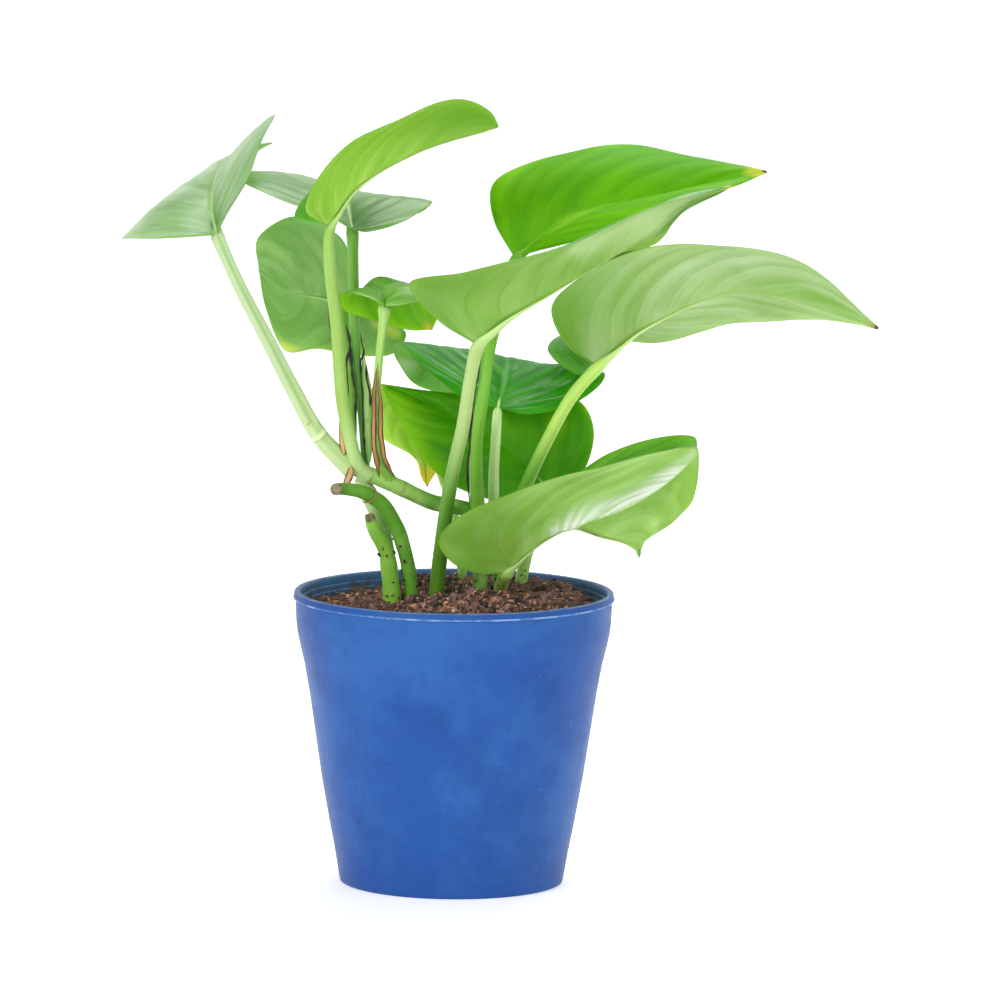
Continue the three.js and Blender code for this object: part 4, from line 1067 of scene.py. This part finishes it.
def scatter(name, places, sizes, seed, flat=0.6, rough=0.28):
    """Many small lumps in one mesh: each is a rough ball with few faces, stretched and turned at random,
    at its own place and size. Its turn is a random quaternion written out as a matrix."""
    draw = np.random.default_rng(seed)
    count = len(places)
    lat = np.linspace(0, np.pi, CRUMB_RINGS)[:, None]
    lon = round_turn(CRUMB_SIDES)[None]
    ball = np.stack([np.sin(lat) * np.cos(lon), np.sin(lat) * np.sin(lon), np.cos(lat) + 0 * lon], -1)
    ball = ball.reshape(-1, 3)
    stretch = draw.uniform(0.55, 1.35, (count, 1, 3)) * np.array([1.0, 1.0, flat])
    bumps = 1 + rough * draw.normal(size=(count, len(ball), 1))
    body = ball[None] * stretch * np.clip(bumps, 0.6, 1.5)
    body[:, :CRUMB_SIDES] = body[:, :1]
    body[:, -CRUMB_SIDES:] = body[:, -1:]
    q = unit(draw.normal(size=(count, 4)) * np.array([1.0, 0.45, 0.45, 1.0]))
    w, i, j, k = q.T
    turn = np.stack([
        np.stack([1 - 2 * (j * j + k * k), 2 * (i * j - k * w), 2 * (i * k + j * w)], -1),
        np.stack([2 * (i * j + k * w), 1 - 2 * (i * i + k * k), 2 * (j * k - i * w)], -1),
        np.stack([2 * (i * k - j * w), 2 * (j * k + i * w), 1 - 2 * (i * i + j * j)], -1)], 1)
    points = np.einsum("nab,npb->npa", turn, body) * np.asarray(sizes)[:, None, None] + places[:, None]
    mesh = many(name, points, ring_faces(CRUMB_RINGS, CRUMB_SIDES))
    tone = mesh.attributes.new("tone", "FLOAT", "POINT")
    tone.data.foreach_set("value", np.repeat(draw.uniform(0, 1, count), len(ball)))
    merge_close(mesh, 1e-7)
    return add(name, mesh)


def on_soil(count, seed, edge=0.97):
    """Random places on the soil's top, even over its area."""
    draw = np.random.default_rng(seed)
    radius = SOIL_RADIUS * edge * np.sqrt(draw.uniform(0, 1, count))
    turn = draw.uniform(0, 2 * np.pi, count)
    x, y = radius * np.cos(turn), radius * np.sin(turn)
    return np.stack([x, y, soil_height(x, y)], -1)


def fibres(name, count, seed):
    """Coir fibres: thin bent threads of random length that lie on the soil, all in one mesh."""
    draw = np.random.default_rng(seed)
    middle = on_soil(count, seed, 0.93)
    length = draw.uniform(*FIBRE_LENGTH, count)[:, None]
    heading = draw.uniform(0, 2 * np.pi, count)[:, None]
    bend = draw.uniform(-0.9, 0.9, count)[:, None]
    rise = draw.uniform(-0.10, 0.30, count)[:, None]
    s = np.linspace(-0.5, 0.5, FIBRE_POINTS)[None]
    angle = heading + bend * s
    x = middle[:, :1] + length * s * np.cos(angle)
    y = middle[:, 1:2] + length * s * np.sin(angle)
    z = middle[:, 2:] + 0.0003 + length * (rise * s + 0.12 * (0.25 - s * s))
    line = np.stack([x, y, z], -1)
    forward = unit(np.gradient(line, axis=1))
    side = unit(np.cross(forward, np.array([0, 0, 1.0])))
    over = np.cross(side, forward)
    turn = round_turn(FIBRE_SIDES)[:, None]
    radius = draw.uniform(*FIBRE_THICKNESS, count)[:, None] * np.array(FIBRE_ENDS)
    ring = np.cos(turn) * side[:, :, None] + np.sin(turn) * over[:, :, None]
    points = line[:, :, None] + ring * radius[..., None, None]
    first = np.arange(FIBRE_SIDES)
    ends = np.array([first[::-1], first + (FIBRE_POINTS - 1) * FIBRE_SIDES])
    faces = np.concatenate([ring_faces(FIBRE_POINTS, FIBRE_SIDES), ends])
    mesh = many(name, points.reshape(count, -1, 3), faces)
    merge_close(mesh, 1e-8)
    return add(name, mesh)


def clinging(name, hosts, low, high, count, seed, sizes):
    """Crumbs that stick to stems in clumps: at random points of the hosts' surfaces between two heights,
    most of them near a few chosen points, and more near the foot."""
    draw = np.random.default_rng(seed)
    points = []
    for host in hosts:
        flat = np.empty(len(host.data.vertices) * 3)
        host.data.vertices.foreach_get("co", flat)
        points.append(flat.reshape(-1, 3))
    points = np.concatenate(points)
    points = points[(points[:, 2] > low) & (points[:, 2] < high)]
    nearer_foot = draw.uniform(0, 1, len(points)) ** 2 > (points[:, 2] - low) / (high - low)
    points = points[nearer_foot]
    clumps = points[draw.choice(len(points), count // 9, replace=False)]
    apart = np.linalg.norm(points[:, None] - clumps[None], axis=-1)
    weight = np.exp(-(apart / 0.0010) ** 2).sum(1) + 0.04
    chosen = draw.choice(len(points), min(count, len(points)), replace=False, p=weight / weight.sum())
    small, large = sizes
    reach = small + (large - small) * draw.uniform(0, 1, len(chosen)) ** 3
    return scatter(name, points[chosen], reach, seed)


# Shader maths


class Value:
    """One socket of a finish's nodes. Sums and products of values add the Math nodes that work them out."""

    def __init__(self, finish, socket):
        self.finish = finish
        self.socket = socket

    def maths(self, operation, *others):
        inputs = dict(enumerate((self, *others)))
        return self.finish.node("ShaderNodeMath", {"operation": operation}, inputs)

    def __add__(self, other):
        return self.maths("ADD", other)

    def __sub__(self, other):
        return self.maths("SUBTRACT", other)

    def __mul__(self, other):
        return self.maths("MULTIPLY", other)

    def __pow__(self, other):
        return self.maths("POWER", other)

    def __rsub__(self, other):
        return self.finish.node("ShaderNodeMath", {"operation": "SUBTRACT"}, {0: other, 1: self})

    __radd__ = __add__
    __rmul__ = __mul__


class Finish:
    """A material and its nodes."""

    def __init__(self, name):
        self.material = bpy.data.materials.new(name)
        self.material.use_nodes = True
        self.tree = self.material.node_tree
        self.tree.nodes.clear()

    def node(self, kind, settings=None, inputs=None, output=0):
        """Adds a node, makes its settings, then fills or links its sockets. Returns one output."""
        made = self.tree.nodes.new(kind)
        for key, value in (settings or {}).items():
            setattr(made, key, value)
        for key, value in (inputs or {}).items():
            if isinstance(value, Value):
                self.tree.links.new(value.socket, made.inputs[key])
            else:
                made.inputs[key].default_value = value
        return Value(self, made.outputs[output]) if made.outputs else None

    def step(self, value, low, high):
        """Smooth step from 0 at low to 1 at high."""
        return self.node("ShaderNodeMapRange", {"interpolation_type": "SMOOTHSTEP"},
                         {0: value, 1: low, 2: high})

    def mix(self, below, above, factor):
        return self.node("ShaderNodeMix", {"data_type": "RGBA"}, {0: factor, 6: below, 7: above}, 2)

    def coats(self, colour, *layers):
        """Lays tones over a colour one after another, each as far as its cover, from 0 to 1."""
        for tone, cover in layers:
            colour = self.mix(colour, tone, cover)
        return colour

    def noise(self, where, scale, detail=3.0, rough=0.55):
        return self.node("ShaderNodeTexNoise", {}, {"Vector": where, "Scale": scale, "Detail": detail,
                                                    "Roughness": rough})

    def dots(self, where, scale, core, rim):
        """Scattered round specks: 1 within their core and 0 outside their rim."""
        cells = self.node("ShaderNodeTexVoronoi", {"feature": "F1"}, {"Vector": where, "Scale": scale})
        return 1.0 - self.step(cells, core, rim)

    def tag(self, name):
        return self.node("ShaderNodeAttribute", {"attribute_name": name}, {}, 2)

    def size(self, value):
        return self.node("ShaderNodeMath", {"operation": "ABSOLUTE"}, {0: value})

    def band(self, value, centre, width):
        """1 at the centre and 0 from a width away."""
        return 1.0 - self.step(self.size(value - centre), 0.0, width)

    def places(self):
        return self.node("ShaderNodeTexCoord", {}, {}, 3)

    def parts(self, vector):
        """A vector's three numbers, as values."""
        first = self.node("ShaderNodeSeparateXYZ", {}, {0: vector})
        return [Value(self, output) for output in first.socket.node.outputs]

    def sheet(self):
        """The two surface coordinates, as values."""
        return self.parts(self.node("ShaderNodeUVMap", {"uv_map": "UVMap"}))[:2]

    def point(self, x, y, z=0.0):
        return self.node("ShaderNodeCombineXYZ", {}, {0: x, 1: y, 2: z})

    def surface(self, colour, roughness, height=None, relief=0.0001, strength=0.4, constants=None,
                coat=None):
        """Ends the finish in one glossy or matt shader. height, in parts of relief, makes small bumps."""
        inputs = {"Base Color": colour, "Roughness": roughness, **(constants or {})}
        if coat is not None:
            inputs["Coat Weight"] = coat
        if height is not None:
            inputs["Normal"] = self.node("ShaderNodeBump", {}, {"Height": height, "Distance": relief,
                                                                "Strength": strength})
        shader = self.node("ShaderNodeBsdfPrincipled", {}, inputs)
        self.node("ShaderNodeOutputMaterial", {}, {"Surface": shader})
        return self.material


# Finishes


def tissue(depth, blue, scale, shine):
    """How much light soaks into a plant's tissue, how far its blue goes, and the reflection."""
    return {"Subsurface Weight": depth, "Subsurface Radius": (0.8, 1.0, blue), "Subsurface Scale": scale,
            "Specular IOR Level": shine}


def blade_finish(name, leaf):
    """Leaf tissue: green above and paler below, with lighter ribs and side veins, fine streaks along the
    veins, pale variegated and yellow patches, a brown point and small pits. Painted light over that:
    painted shade along the veins and in darker zones, a lighter and a darker side to each vein, whitish
    sheen streaks, pale zones that are partly painted highlights, and a painted glare band before a fold's
    crease."""
    f = Finish("leaf_" + name)
    t, across = f.sheet()
    side = f.size(across * 2.0 - 1.0)
    faces_up = f.step(f.tag("upper"), 0.35, 0.65)
    where = f.places()
    right = f.step(across, 0.49, 0.51)
    wobble = (f.noise(where, 60.0, 1.0) - 0.5) * 0.3
    phase = f.tag("vein_at") * float(leaf["veins"]) + right * 0.4
    wave = f.size(((phase + wobble) * np.pi).maths("SINE"))
    second = f.size(((phase * 3.0 + wobble * 4.0) * np.pi).maths("SINE"))
    inner = f.step(side, 0.02, 0.12) * (1.0 - f.step(side, 0.72, 0.97))
    veins = (1.0 - f.step(wave, 0.0, 0.22)) * inner
    veinlets = (1.0 - f.step(second, 0.0, 0.4)) * inner
    seed = leaf["seed"]
    fine = f.noise(f.point(phase * 6.0 + wobble * 4.0, side * 1.8, right * 5.0 + seed), 1.0, 3.0)
    broad = f.noise(f.point(phase * 0.7, side * 1.3, right * 3.0 + seed), 1.0, 3.0)
    cloud = f.noise(where, 48.0, 4.0)
    # painted vein shading: each vein gets a lighter side and a darker side, as if lit from one side
    lean = ((phase + wobble) * (2 * np.pi)).maths("SINE")
    painted_vein_shading = (inner * f.step(t, 0.10, 0.45)) * leaf["painted_vein_shading"]
    painted_lit_side = f.step(lean, 0.1, 1.0) * painted_vein_shading
    painted_shaded_side = f.step(lean * -1.0, 0.1, 1.0) * painted_vein_shading
    streak = leaf["streak"]

    upper, upper_light, upper_dark = leaf["upper"]
    above = f.coats(upper,
                    (upper_light, f.step(broad, 0.40, 0.70) * 0.8),
                    (upper_dark, f.step(cloud, 0.48, 0.75) * 0.5),
                    # painted shade along the sunken veins
                    (upper_dark, (1.0 - f.step(wave, 0.0, 0.6)) * 0.16),
                    (upper_light, f.step(fine, 0.40, 0.78) * 0.5 * streak),
                    (leaf["rib"], veins * 0.16 + veinlets * 0.03),
                    (upper_light, painted_lit_side * 0.7),
                    (upper_dark, painted_shaded_side))
    lower, lower_light, lower_dark = leaf["lower"]
    below = f.coats(lower,
                    (lower_light, f.step(broad, 0.38, 0.68) * 0.8),
                    (lower_dark, f.step(cloud, 0.46, 0.75) * 0.5),
                    (lower_light, f.step(fine, 0.42, 0.80) * 0.6 * streak),
                    (lower_dark, (1.0 - f.step(fine, 0.24, 0.50)) * 0.5 * streak),
                    (leaf["vein"], veins * leaf["vein_strength"] + veinlets * 0.04),
                    (lower_light, painted_lit_side),
                    (lower_dark, painted_shaded_side))

    # painted sheen: whitish streaks of highlight between the veins
    lines = f.noise(f.point(phase * 3.4 + wobble * 3.0, side * 3.4, right * 7.0 + seed), 1.0, 3.0)
    lit = f.step(lines, 0.48, 0.68) * f.step(f.noise(where, 70.0, 2.0), 0.42, 0.62) * inner
    ragged = f.tag("cream_and_sheen") + (fine - 0.5) * 0.15 + (cloud - 0.5) * 0.7
    streaks = f.noise(f.point(phase * 9.0, side * 3.0, seed), 1.0, 3.0)
    rib = 1.0 - f.step(f.tag("from_rib"), 0.0001, 0.0013 - t * 0.0009)
    foot = (1.0 - f.step(t, 0.01, 0.12)) * (1.0 - f.step(side, 0.1, 0.8))
    tip = f.step(t + (cloud - 0.5) * 0.08, *leaf["tip_yellow"])
    pits = f.dots(where, 240.0, 0.03, 0.08) * f.step(f.noise(where, 140.0, 0.0), 0.63, 0.67)
    colour = f.coats(f.mix(below, above, faces_up),
                     # painted shade in the darker zones
                     (leaf["painted_shade_tone"], f.tag("painted_shade") * (0.55 + broad * 0.9)),
                     (LEAF_SHEEN, lit * leaf["sheen"]),
                     # the patch tone over the pale zones: partly variegation, partly painted highlight
                     (leaf["patch"], f.step(ragged, 0.25, 0.80) * 0.85),
                     # painted glare: a whitish band painted just before the fold's crease
                     (LEAF_GLARE, f.tag("painted_glare") * (0.42 + f.step(streaks, 0.40, 0.58) * 0.58)),
                     (leaf["rib"], rib * leaf["rib_strength"]),
                     (leaf["rib"], foot * 0.5),
                     (leaf["edge"], f.step(side, 0.972, 0.998) * 0.6),
                     (leaf["tip_colour"], tip * 0.85),
                     (LEAF_POINT, f.step(t, 0.980, 0.990) * leaf["point"]),
                     (LEAF_PIT, pits * 0.7))

    roughness = (0.56 - faces_up * (0.56 - leaf["gloss"])) + (fine - 0.5) * 0.16
    cells = f.noise(where, 2600.0, 1.0)
    height = cells * 0.3 + fine * 1.6 * streak + wave * 1.0 + pits
    constants = {**tissue(0.4, 0.10, 0.0014, leaf["shine"]), "Coat Roughness": 0.25}
    return f.surface(colour, roughness, height, 0.00014, 0.5, constants, coat=faces_up * leaf["coat"])


def petiole_finish(name, stem):
    """Petiole tissue: green, finely streaked along its length, darker towards its foot, sometimes with a
    pale ring, and with a few brown specks near the foot. Past the blade's base it takes the rib's tone."""
    f = Finish("petiole_" + name)
    middle, light, dark = stem["green"]
    up = f.tag("up")
    _, around = f.sheet()
    where = f.places()
    turn = (around * (2 * np.pi)).maths("COSINE")
    roll = (around * (2 * np.pi)).maths("SINE")
    streak = f.noise(f.point(turn * 1.8, roll * 1.8, up * 1.2 + stem["seed"]), 2.4, 3.0)
    cloud = f.noise(where, 80.0, 4.0)
    aloft = f.step(up, *stem["darkens"])
    colour = f.coats(middle,
                     (dark, 1.0 - aloft),
                     (light, f.step(streak, 0.40, 0.72) * stem["streaks"] * (0.3 + aloft * 0.7)))
    # painted shade down one side of the petiole
    if stem["side_shade"]:
        colour = f.mix(colour, stem["shaded"], f.band(turn, -0.55, 0.5) * stem["side_shade"])
    colour = f.coats(colour,
                     (dark, f.step(cloud, 0.52, 0.78) * 0.3),
                     (stem["rib"], f.step(up, 0.98, 1.06) * 0.7),
                     (stem["lower"], f.step(up, 1.15, 1.6) * 0.6))
    if stem["ring"]:
        ring = f.band(up + (cloud - 0.5) * 0.02, stem["ring"], 0.016)
        colour = f.coats(colour, (RING_PALE, ring * 0.8),
                         (RING_DARK, f.band(up, stem["ring"] - 0.012, 0.006) * 0.5))
    if stem["collar"]:
        colour = f.mix(colour, COLLAR, f.band(up + (cloud - 0.5) * 0.01, stem["collar"], 0.006) * 0.3)
    few = f.step(f.noise(where, 170.0, 1.0), 0.57, 0.64) * (1.0 - f.step(up, 0.1, 0.45))
    colour = f.mix(colour, SPECK, f.dots(where, 420.0, 0.1, 0.3) * few * 0.8)
    height = streak * 0.7 + f.noise(where, 1800.0, 1.0) * 0.3
    roughness = 0.38 + (cloud - 0.5) * 0.2
    return f.surface(colour, roughness, height, 0.00012, 0.4, tissue(0.3, 0.25, 0.0014, 0.4))


def vine_finish(name, stem):
    """Vine bark: green with brown scars at the nodes and corky specks. A cut face has a dark rim and a
    grey-brown heart."""
    f = Finish("vine_" + name)
    middle, light, dark = stem["green"]
    up = f.tag("up")
    where = f.places()
    cloud = f.noise(where, 110.0, 4.0)
    fine = f.noise(where, 520.0, 4.0, 0.65)
    scars = [(SCAR, f.band(up + (cloud - 0.5) * 0.05, node, 0.012) * f.step(fine, 0.44, 0.60) * 0.7)
             for node in stem["nodes"]]
    cork = f.step(fine, 0.60, 0.70) * f.step(f.noise(where, 140.0, 2.0), 0.52, 0.64)
    colour = f.coats(middle,
                     (dark, 1.0 - f.step(up, *stem["darkens"])),
                     (light, f.step(cloud, 0.42, 0.68) * 0.55),
                     *scars,
                     (CORK, cork * 0.8))
    end = f.step(up + (cloud - 0.5) * 0.06, stem["torn"] - 0.02, stem["torn"] + 0.02)
    if stem["cut"]:
        face = f.step(up, 1.10, 1.5)
        cut = f.coats(CUT_RIM,
                      (CUT_DARK, f.step(fine, 0.44, 0.60) * 0.8),
                      (CUT_HEART, face * f.step(fine, 0.30, 0.5)))
        colour = f.mix(colour, cut, end)
    height = fine * 0.8 + cloud + cork * 2.0 + end * fine * 2.0
    roughness = 0.42 + fine * 0.16 + end * 0.3
    return f.surface(colour, roughness, height, 0.0002, 0.45, tissue(0.2, 0.25, 0.0012, 0.4))


def sheath_finish(name, tones):
    """Dried sheath: papery, with darker fibres along it and dark edges."""
    f = Finish("sheath_" + name)
    middle, light, dark = tones
    up = f.tag("up")
    _, around = f.sheet()
    where = f.places()
    cloud = f.noise(where, 320.0, 3.0)
    fibre = f.noise(f.point(around * 18.0, up * 2.5), 1.0, 4.0)
    edge = f.step(f.size((around * (2 * np.pi)).maths("SINE")) + (cloud - 0.5) * 0.3, 0.40, 0.75)
    colour = f.coats(middle,
                     (light, f.step(fibre, 0.42, 0.58)),
                     (dark, (1.0 - f.step(fibre, 0.30, 0.44)) * 0.8),
                     (dark, edge * 0.9),
                     (dark, f.step(cloud, 0.58, 0.72) * 0.4))
    return f.surface(colour, 0.7, fibre + cloud, 0.0002, 0.6)


def pot_finish():
    """Blue moulded plastic: satin, with a fine grain, slightly uneven tone, darker towards the bottom, tiny
    pale scratches, dried soil along the lip, painted shade on the lip's outer face, a painted highlight
    along the bead below it with real wear in places, and a film of soil on the wall inside."""
    f = Finish("pot_plastic")
    where = f.places()
    x, y, z = f.parts(where)
    radius = (x * x + y * y) ** 0.5
    cloud = f.noise(where, 24.0, 5.0, 0.6)
    mottle = f.noise(where, 160.0, 4.0, 0.65)
    grain = f.noise(where, 1300.0, 2.0)
    crust = f.noise(where, 300.0, 5.0, 0.7)
    drawn = f.noise(f.point(y.maths("ARCTAN2", x) * 9.0, z * 40.0, 1.0), 1.0, 3.0)
    sparse = f.step(f.noise(where, 60.0, 2.0), 0.56, 0.62) * f.step(x, 0.0, 0.045)
    lip = f.step(z, 0.0888, 0.0896)
    dusty = f.step(z, 0.0908, 0.0911) * (0.35 + f.step(mottle, 0.45, 0.62) * 0.4)
    # the bead, the lip's lower outer corner: a painted highlight line, with real wear in places
    bead = f.band(z, 0.08915, 0.0005) * f.step(radius, 0.0494, 0.0498)
    inside = (1.0 - f.step(radius, 0.0477, 0.0480)) * f.step(z, 0.0792, 0.0800)
    film = f.step(f.noise(where, 210.0, 5.0, 0.7) + (0.0885 - z) * 60.0, 0.46, 0.66)
    colour = f.coats(POT_BLUE,
                     (POT_LIGHT, f.step(cloud, 0.40, 0.62) * 0.7),
                     (POT_DARK, f.step(f.noise(where, 34.0, 3.0), 0.48, 0.66) * 0.5),
                     (POT_DARK, f.step(mottle, 0.48, 0.72) * 0.3),
                     (POT_DARK, f.step(drawn, 0.50, 0.72) * 0.1),
                     # darker towards the bottom
                     (POT_DARK, (1.0 - f.step(z, 0.0, 0.022)) * 0.45),
                     (POT_LIGHT, f.step(grain, 0.55, 0.75) * 0.35),
                     (POT_SCUFF, f.dots(where, 330.0, 0.05, 0.14) * sparse * 0.6),
                     (POT_CRUST, f.step(crust, 0.57, 0.66) * lip * 0.75),
                     # painted shade on the lip's outer face
                     (POT_DARK, f.step(z, 0.0894, 0.0897) * f.step(radius, 0.0492, 0.0495) * 0.5),
                     (POT_DUST, dusty),
                     (POT_BEAD_HIGHLIGHT, bead * (0.15 + f.step(mottle, 0.42, 0.60) * 0.6)),
                     (POT_WORN, bead * f.step(f.noise(where, 90.0, 4.0), 0.58, 0.66) * 0.7),
                     (POT_INNER, inside * 0.6),
                     (POT_FILM, inside * film * 0.8))
    roughness = 0.42 + (mottle - 0.5) * 0.2 + inside * film * 0.4
    height = mottle * 0.6 + grain * 1.0 + crust * lip * 1.5
    return f.surface(colour, roughness, height, 0.00014, 0.45, {"Specular IOR Level": 0.15})


def soil_finish():
    """Crumbly soil: dark ground with warmer grains."""
    f = Finish("soil")
    middle, light, dark = SOIL_TONES
    where = f.places()
    grain = f.noise(where, 420.0, 5.0, 0.7)
    clump = f.noise(where, 84.0, 3.0)
    colour = f.coats(dark,
                     (middle, f.step(grain, 0.42, 0.62)),
                     (light, f.step(clump, 0.55, 0.72) * f.step(grain, 0.5, 0.65) * 0.8))
    return f.surface(colour, 0.92, grain + clump, 0.0006, 0.8)


def grain_finish(name, tones):
    """Loose grains, each with its own tone between two colours."""
    f = Finish(name)
    low, high = tones
    grain = f.noise(f.places(), 900.0, 4.0, 0.65)
    colour = f.mix(low, high, f.tag("tone") * 0.8 + (grain - 0.5) * 0.6)
    return f.surface(colour, 0.88, grain, 0.0003, 0.6)


# The set: camera, light and floor


def stand(body, right, up, back, spot):
    """Puts a camera or a light at a spot, with its own three axes along the given directions."""
    turn = np.eye(4)
    turn[:3] = np.stack([right, up, back, spot], axis=1)
    body.matrix_world = Matrix(turn.tolist())
    bpy.context.scene.collection.objects.link(body)


def camera():
    eye, target = np.array(CAMERA_PLACE), np.array(CAMERA_TARGET)
    forward = unit(target - eye)
    level = unit(np.cross(forward, [0, 0, 1.0]))
    upright = np.cross(level, forward)
    roll = np.radians(CAMERA_ROLL)
    right = level * np.cos(roll) + upright * np.sin(roll)
    up = upright * np.cos(roll) - level * np.sin(roll)
    lens = bpy.data.cameras.new("camera")
    lens.lens = CAMERA_LENS
    lens.sensor_width = CAMERA_SENSOR
    lens.clip_start = 0.05
    lens.clip_end = 100
    body = bpy.data.objects.new("camera", lens)
    stand(body, right, up, -forward, eye)
    bpy.context.scene.camera = body


def softbox(name, spot, size, power):
    """A square soft light that faces the plant."""
    light = bpy.data.lights.new(name, "AREA")
    light.size = size
    light.energy = power
    back = unit(np.array(spot) - np.array(LIGHT_TARGET))
    side = unit(np.cross([0.01, 0.02, 1.0], back))
    stand(bpy.data.objects.new(name, light), side, np.cross(back, side), back, spot)


def floor():
    """A pale floor that curves up into a wall far out, all round, so that no horizon shows."""
    bend = np.linspace(0.03, np.pi / 2, 24)
    radius = np.concatenate([np.linspace(0.01, FLOOR_REACH, 40), FLOOR_REACH + FLOOR_CURVE * np.sin(bend)])
    height = np.concatenate([np.zeros(40), FLOOR_CURVE * (1 - np.cos(bend))])
    rings = circles(radius, height, FLOOR_SEGMENTS)
    faces = ring_faces(len(radius), FLOOR_SEGMENTS)[:, ::-1].tolist() + [list(range(FLOOR_SEGMENTS))]
    mesh = bpy.data.meshes.new("floor")
    mesh.from_pydata(rings.reshape(-1, 3), [], faces)
    mesh.polygons.foreach_set("use_smooth", np.ones(len(faces), bool))
    mesh.update()
    ground = add("floor", mesh)
    f = Finish("floor")
    tone = f.noise(f.places(), 1.2, 2.0)
    glow = {"Emission Color": (1, 1, 1, 1), "Emission Strength": FLOOR_GLOW}
    ground.data.materials.append(f.surface(f.mix(FLOOR_PALE, FLOOR_WARM, tone), 0.75, constants=glow))


def daylight():
    world = bpy.data.worlds.new("daylight")
    bpy.context.scene.world = world
    world.use_nodes = True
    sky = world.node_tree.nodes["Background"]
    sky.inputs["Color"].default_value = SKY_COLOUR
    sky.inputs["Strength"].default_value = SKY_STRENGTH


# The plant and its pot


def stands_for(form):
    """The CAD node that a vine or a strip takes the place of, if there is one."""
    return [form["stands_for"]] if "stands_for" in form else []


def plant():
    """All leaves, petioles, vines and dried sheaths. Returns the stems, the vines last."""
    stems = []
    for name, form in LEAVES.items():
        leaf = {**PLAIN_LEAF, **form}
        place(blade(name, leaf), blade_finish(name, leaf), "leaf", "leaf_" + name)
        stem = {**PLAIN_PETIOLE, **PETIOLES[name], "rib": leaf["rib"], "lower": leaf["lower"][0]}
        stalk = petiole(name, stem, leaf)
        stems.append(place(stalk, petiole_finish(name, stem), "petiole", "petiole_" + name))
    for name, form in VINES.items():
        stem = {**PLAIN_VINE, **form}
        stems.append(place(vine(name, stem), vine_finish(name, stem), "vine", *stands_for(form)))
    for name, form in SHEATHS.items():
        strip = {**PLAIN_SHEATH, **form}
        finish = sheath_finish(name, SHEATH_TONES[strip["tone"]])
        place(sheath(name, strip), finish, "dried_sheath", *stands_for(form))
    return stems


def potting(stems):
    """The pot and its soil, with crumbs and fibres on the soil and dirt on the stems."""
    place(pot(), pot_finish(), "pot_plastic", "pot")
    place(soil(), soil_finish(), "soil", "soil")
    draw = np.random.default_rng(71)
    for name, (count, (small, large), tones, seed) in CRUMBS.items():
        spots = on_soil(count, seed)
        sizes = small + (large - small) * draw.uniform(0, 1, count) ** 2.2
        spots[:, 2] += sizes * 0.35
        place(scatter(name, spots, sizes, seed, 0.7, 0.36), grain_finish(name, tones), "soil")
    place(fibres("coir_fibres", FIBRES, 91), grain_finish("coir_fibre", FIBRE_TONES), "soil")
    dirt = grain_finish("stem_dirt", DIRT_TONES)
    for name, hosts in (("dirt_on_stems", stems), ("dirt_on_vines", stems[len(LEAVES):])):
        place(clinging(name, hosts, *DIRT[name]), dirt, "soil")


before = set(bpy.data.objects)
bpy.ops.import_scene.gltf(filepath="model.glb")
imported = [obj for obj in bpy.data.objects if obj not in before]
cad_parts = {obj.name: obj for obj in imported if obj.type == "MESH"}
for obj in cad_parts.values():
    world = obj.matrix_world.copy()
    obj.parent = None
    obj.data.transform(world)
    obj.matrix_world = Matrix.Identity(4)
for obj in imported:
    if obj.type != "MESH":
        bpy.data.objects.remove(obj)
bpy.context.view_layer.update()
potting(plant())
camera()
floor()
daylight()
for box in SOFTBOXES:
    softbox(*box)
bpy.context.scene.view_settings.view_transform = "Standard"
